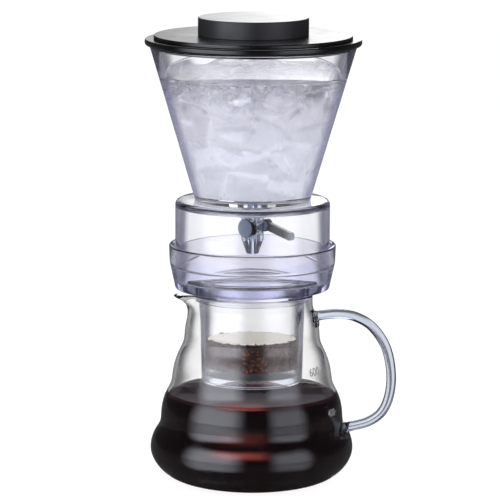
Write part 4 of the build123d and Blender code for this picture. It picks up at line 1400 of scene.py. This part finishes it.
def softbox(name, azimuth, elevation, wide, high, radiance):
    """A soft light that faces the middle of the object. Azimuth 0 is behind the camera."""
    box = bpy.data.lights.new(name, "AREA")
    box.shape = "RECTANGLE"
    box.size = wide
    box.size_y = high
    box.energy = radiance * math.pi * wide * high
    lamp = bpy.data.objects.new(name, box)
    scene.collection.objects.link(lamp)
    lamp.visible_glossy = False
    lamp.visible_transmission = False
    a, e = turn + math.radians(azimuth), math.radians(elevation)
    back = Vector((math.sin(a) * math.cos(e), -math.cos(a) * math.cos(e), math.sin(e)))
    lamp.location = MIDDLE + back * LAMP_REACH
    lamp.rotation_euler = back.to_track_quat("Z", "Y").to_euler()
    return lamp


lamps = [softbox("softbox_left", -45.0, 38.0, 1.9, 1.3, 1.90),
         softbox("softbox_right", 49.0, 38.0, 1.5, 1.3, 1.75)]
for lamp in lamps:
    print(lamp.name, round(lamp.data.energy), "W")

# %% [markdown]
# ## Card behind the lid
# The polished lid mirrors what stands behind it, which would be the dark room. A photographer hangs
# a white card there, out of the picture. This one is brighter towards the right, so the lid shows a
# soft run from dark to light.

# %% Card behind the lid
CARD_REACH = 0.62
CARD_HEIGHT = 0.63
CARD_FALL = 0.20
code = bmesh.new()
bmesh.ops.create_grid(code, x_segments=1, y_segments=1, size=0.5)
card_mesh = bpy.data.meshes.new("card_behind")
code.to_mesh(card_mesh)
code.free()
card = bpy.data.objects.new("card_behind", card_mesh)
scene.collection.objects.link(card)
card.scale = (0.36, 0.74, 1.0)
card.location = (CARD_REACH * AWAY[0], CARD_REACH * AWAY[1], CARD_HEIGHT)
card.rotation_euler = (math.radians(90.0), 0.0, turn)
card.visible_camera = False
card.visible_diffuse = False
card.visible_shadow = False
card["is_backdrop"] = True
# White card, lit from one side: a glow that grows from left to right.
lit_card, tree = new_material("white_card_lit_from_one_side")
where = add_node(tree, "ShaderNodeTexCoord")
sides = add_node(tree, "ShaderNodeSeparateXYZ", {}, {0: (where, "Object")})
fall = add_node(tree, "ShaderNodeMapRange", {"From Min": -CARD_FALL, "From Max": CARD_FALL,
                "To Min": 0.92, "To Max": 2.6}, {"Value": (sides, "X")})
path = add_node(tree, "ShaderNodeLightPath")
weak = add_node(tree, "ShaderNodeMapRange", {"To Min": 1.0, "To Max": 0.75},
                {"Value": (path, "Is Transmission Ray")})
level = add_node(tree, "ShaderNodeMath", {"operation": "MULTIPLY"}, {0: (fall, 0), 1: (weak, 0)})
glow = add_node(tree, "ShaderNodeEmission", {"Color": linear("ffffff")}, {"Strength": (level, 0)})
add_node(tree, "ShaderNodeOutputMaterial", {}, {"Surface": (glow, 0)})
card_mesh.materials.append(lit_card)
print("card", round(card.scale[0], 2), "by", round(card.scale[1], 2), "m")

# %% [markdown]
# ## Close
# The Standard view shows a colour as it is written. The box of the CAD model and the box of the
# dressed one are printed side by side, so that any change of the object's size shows.

# %% Close
scene.view_settings.view_transform = "Standard"
new_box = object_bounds()
for title, box in (("CAD", cad_box), ("dressed", new_box)):
    print(title, "size", [round((high - low) / MM, 1) for low, high in zip(*box)], "mm")
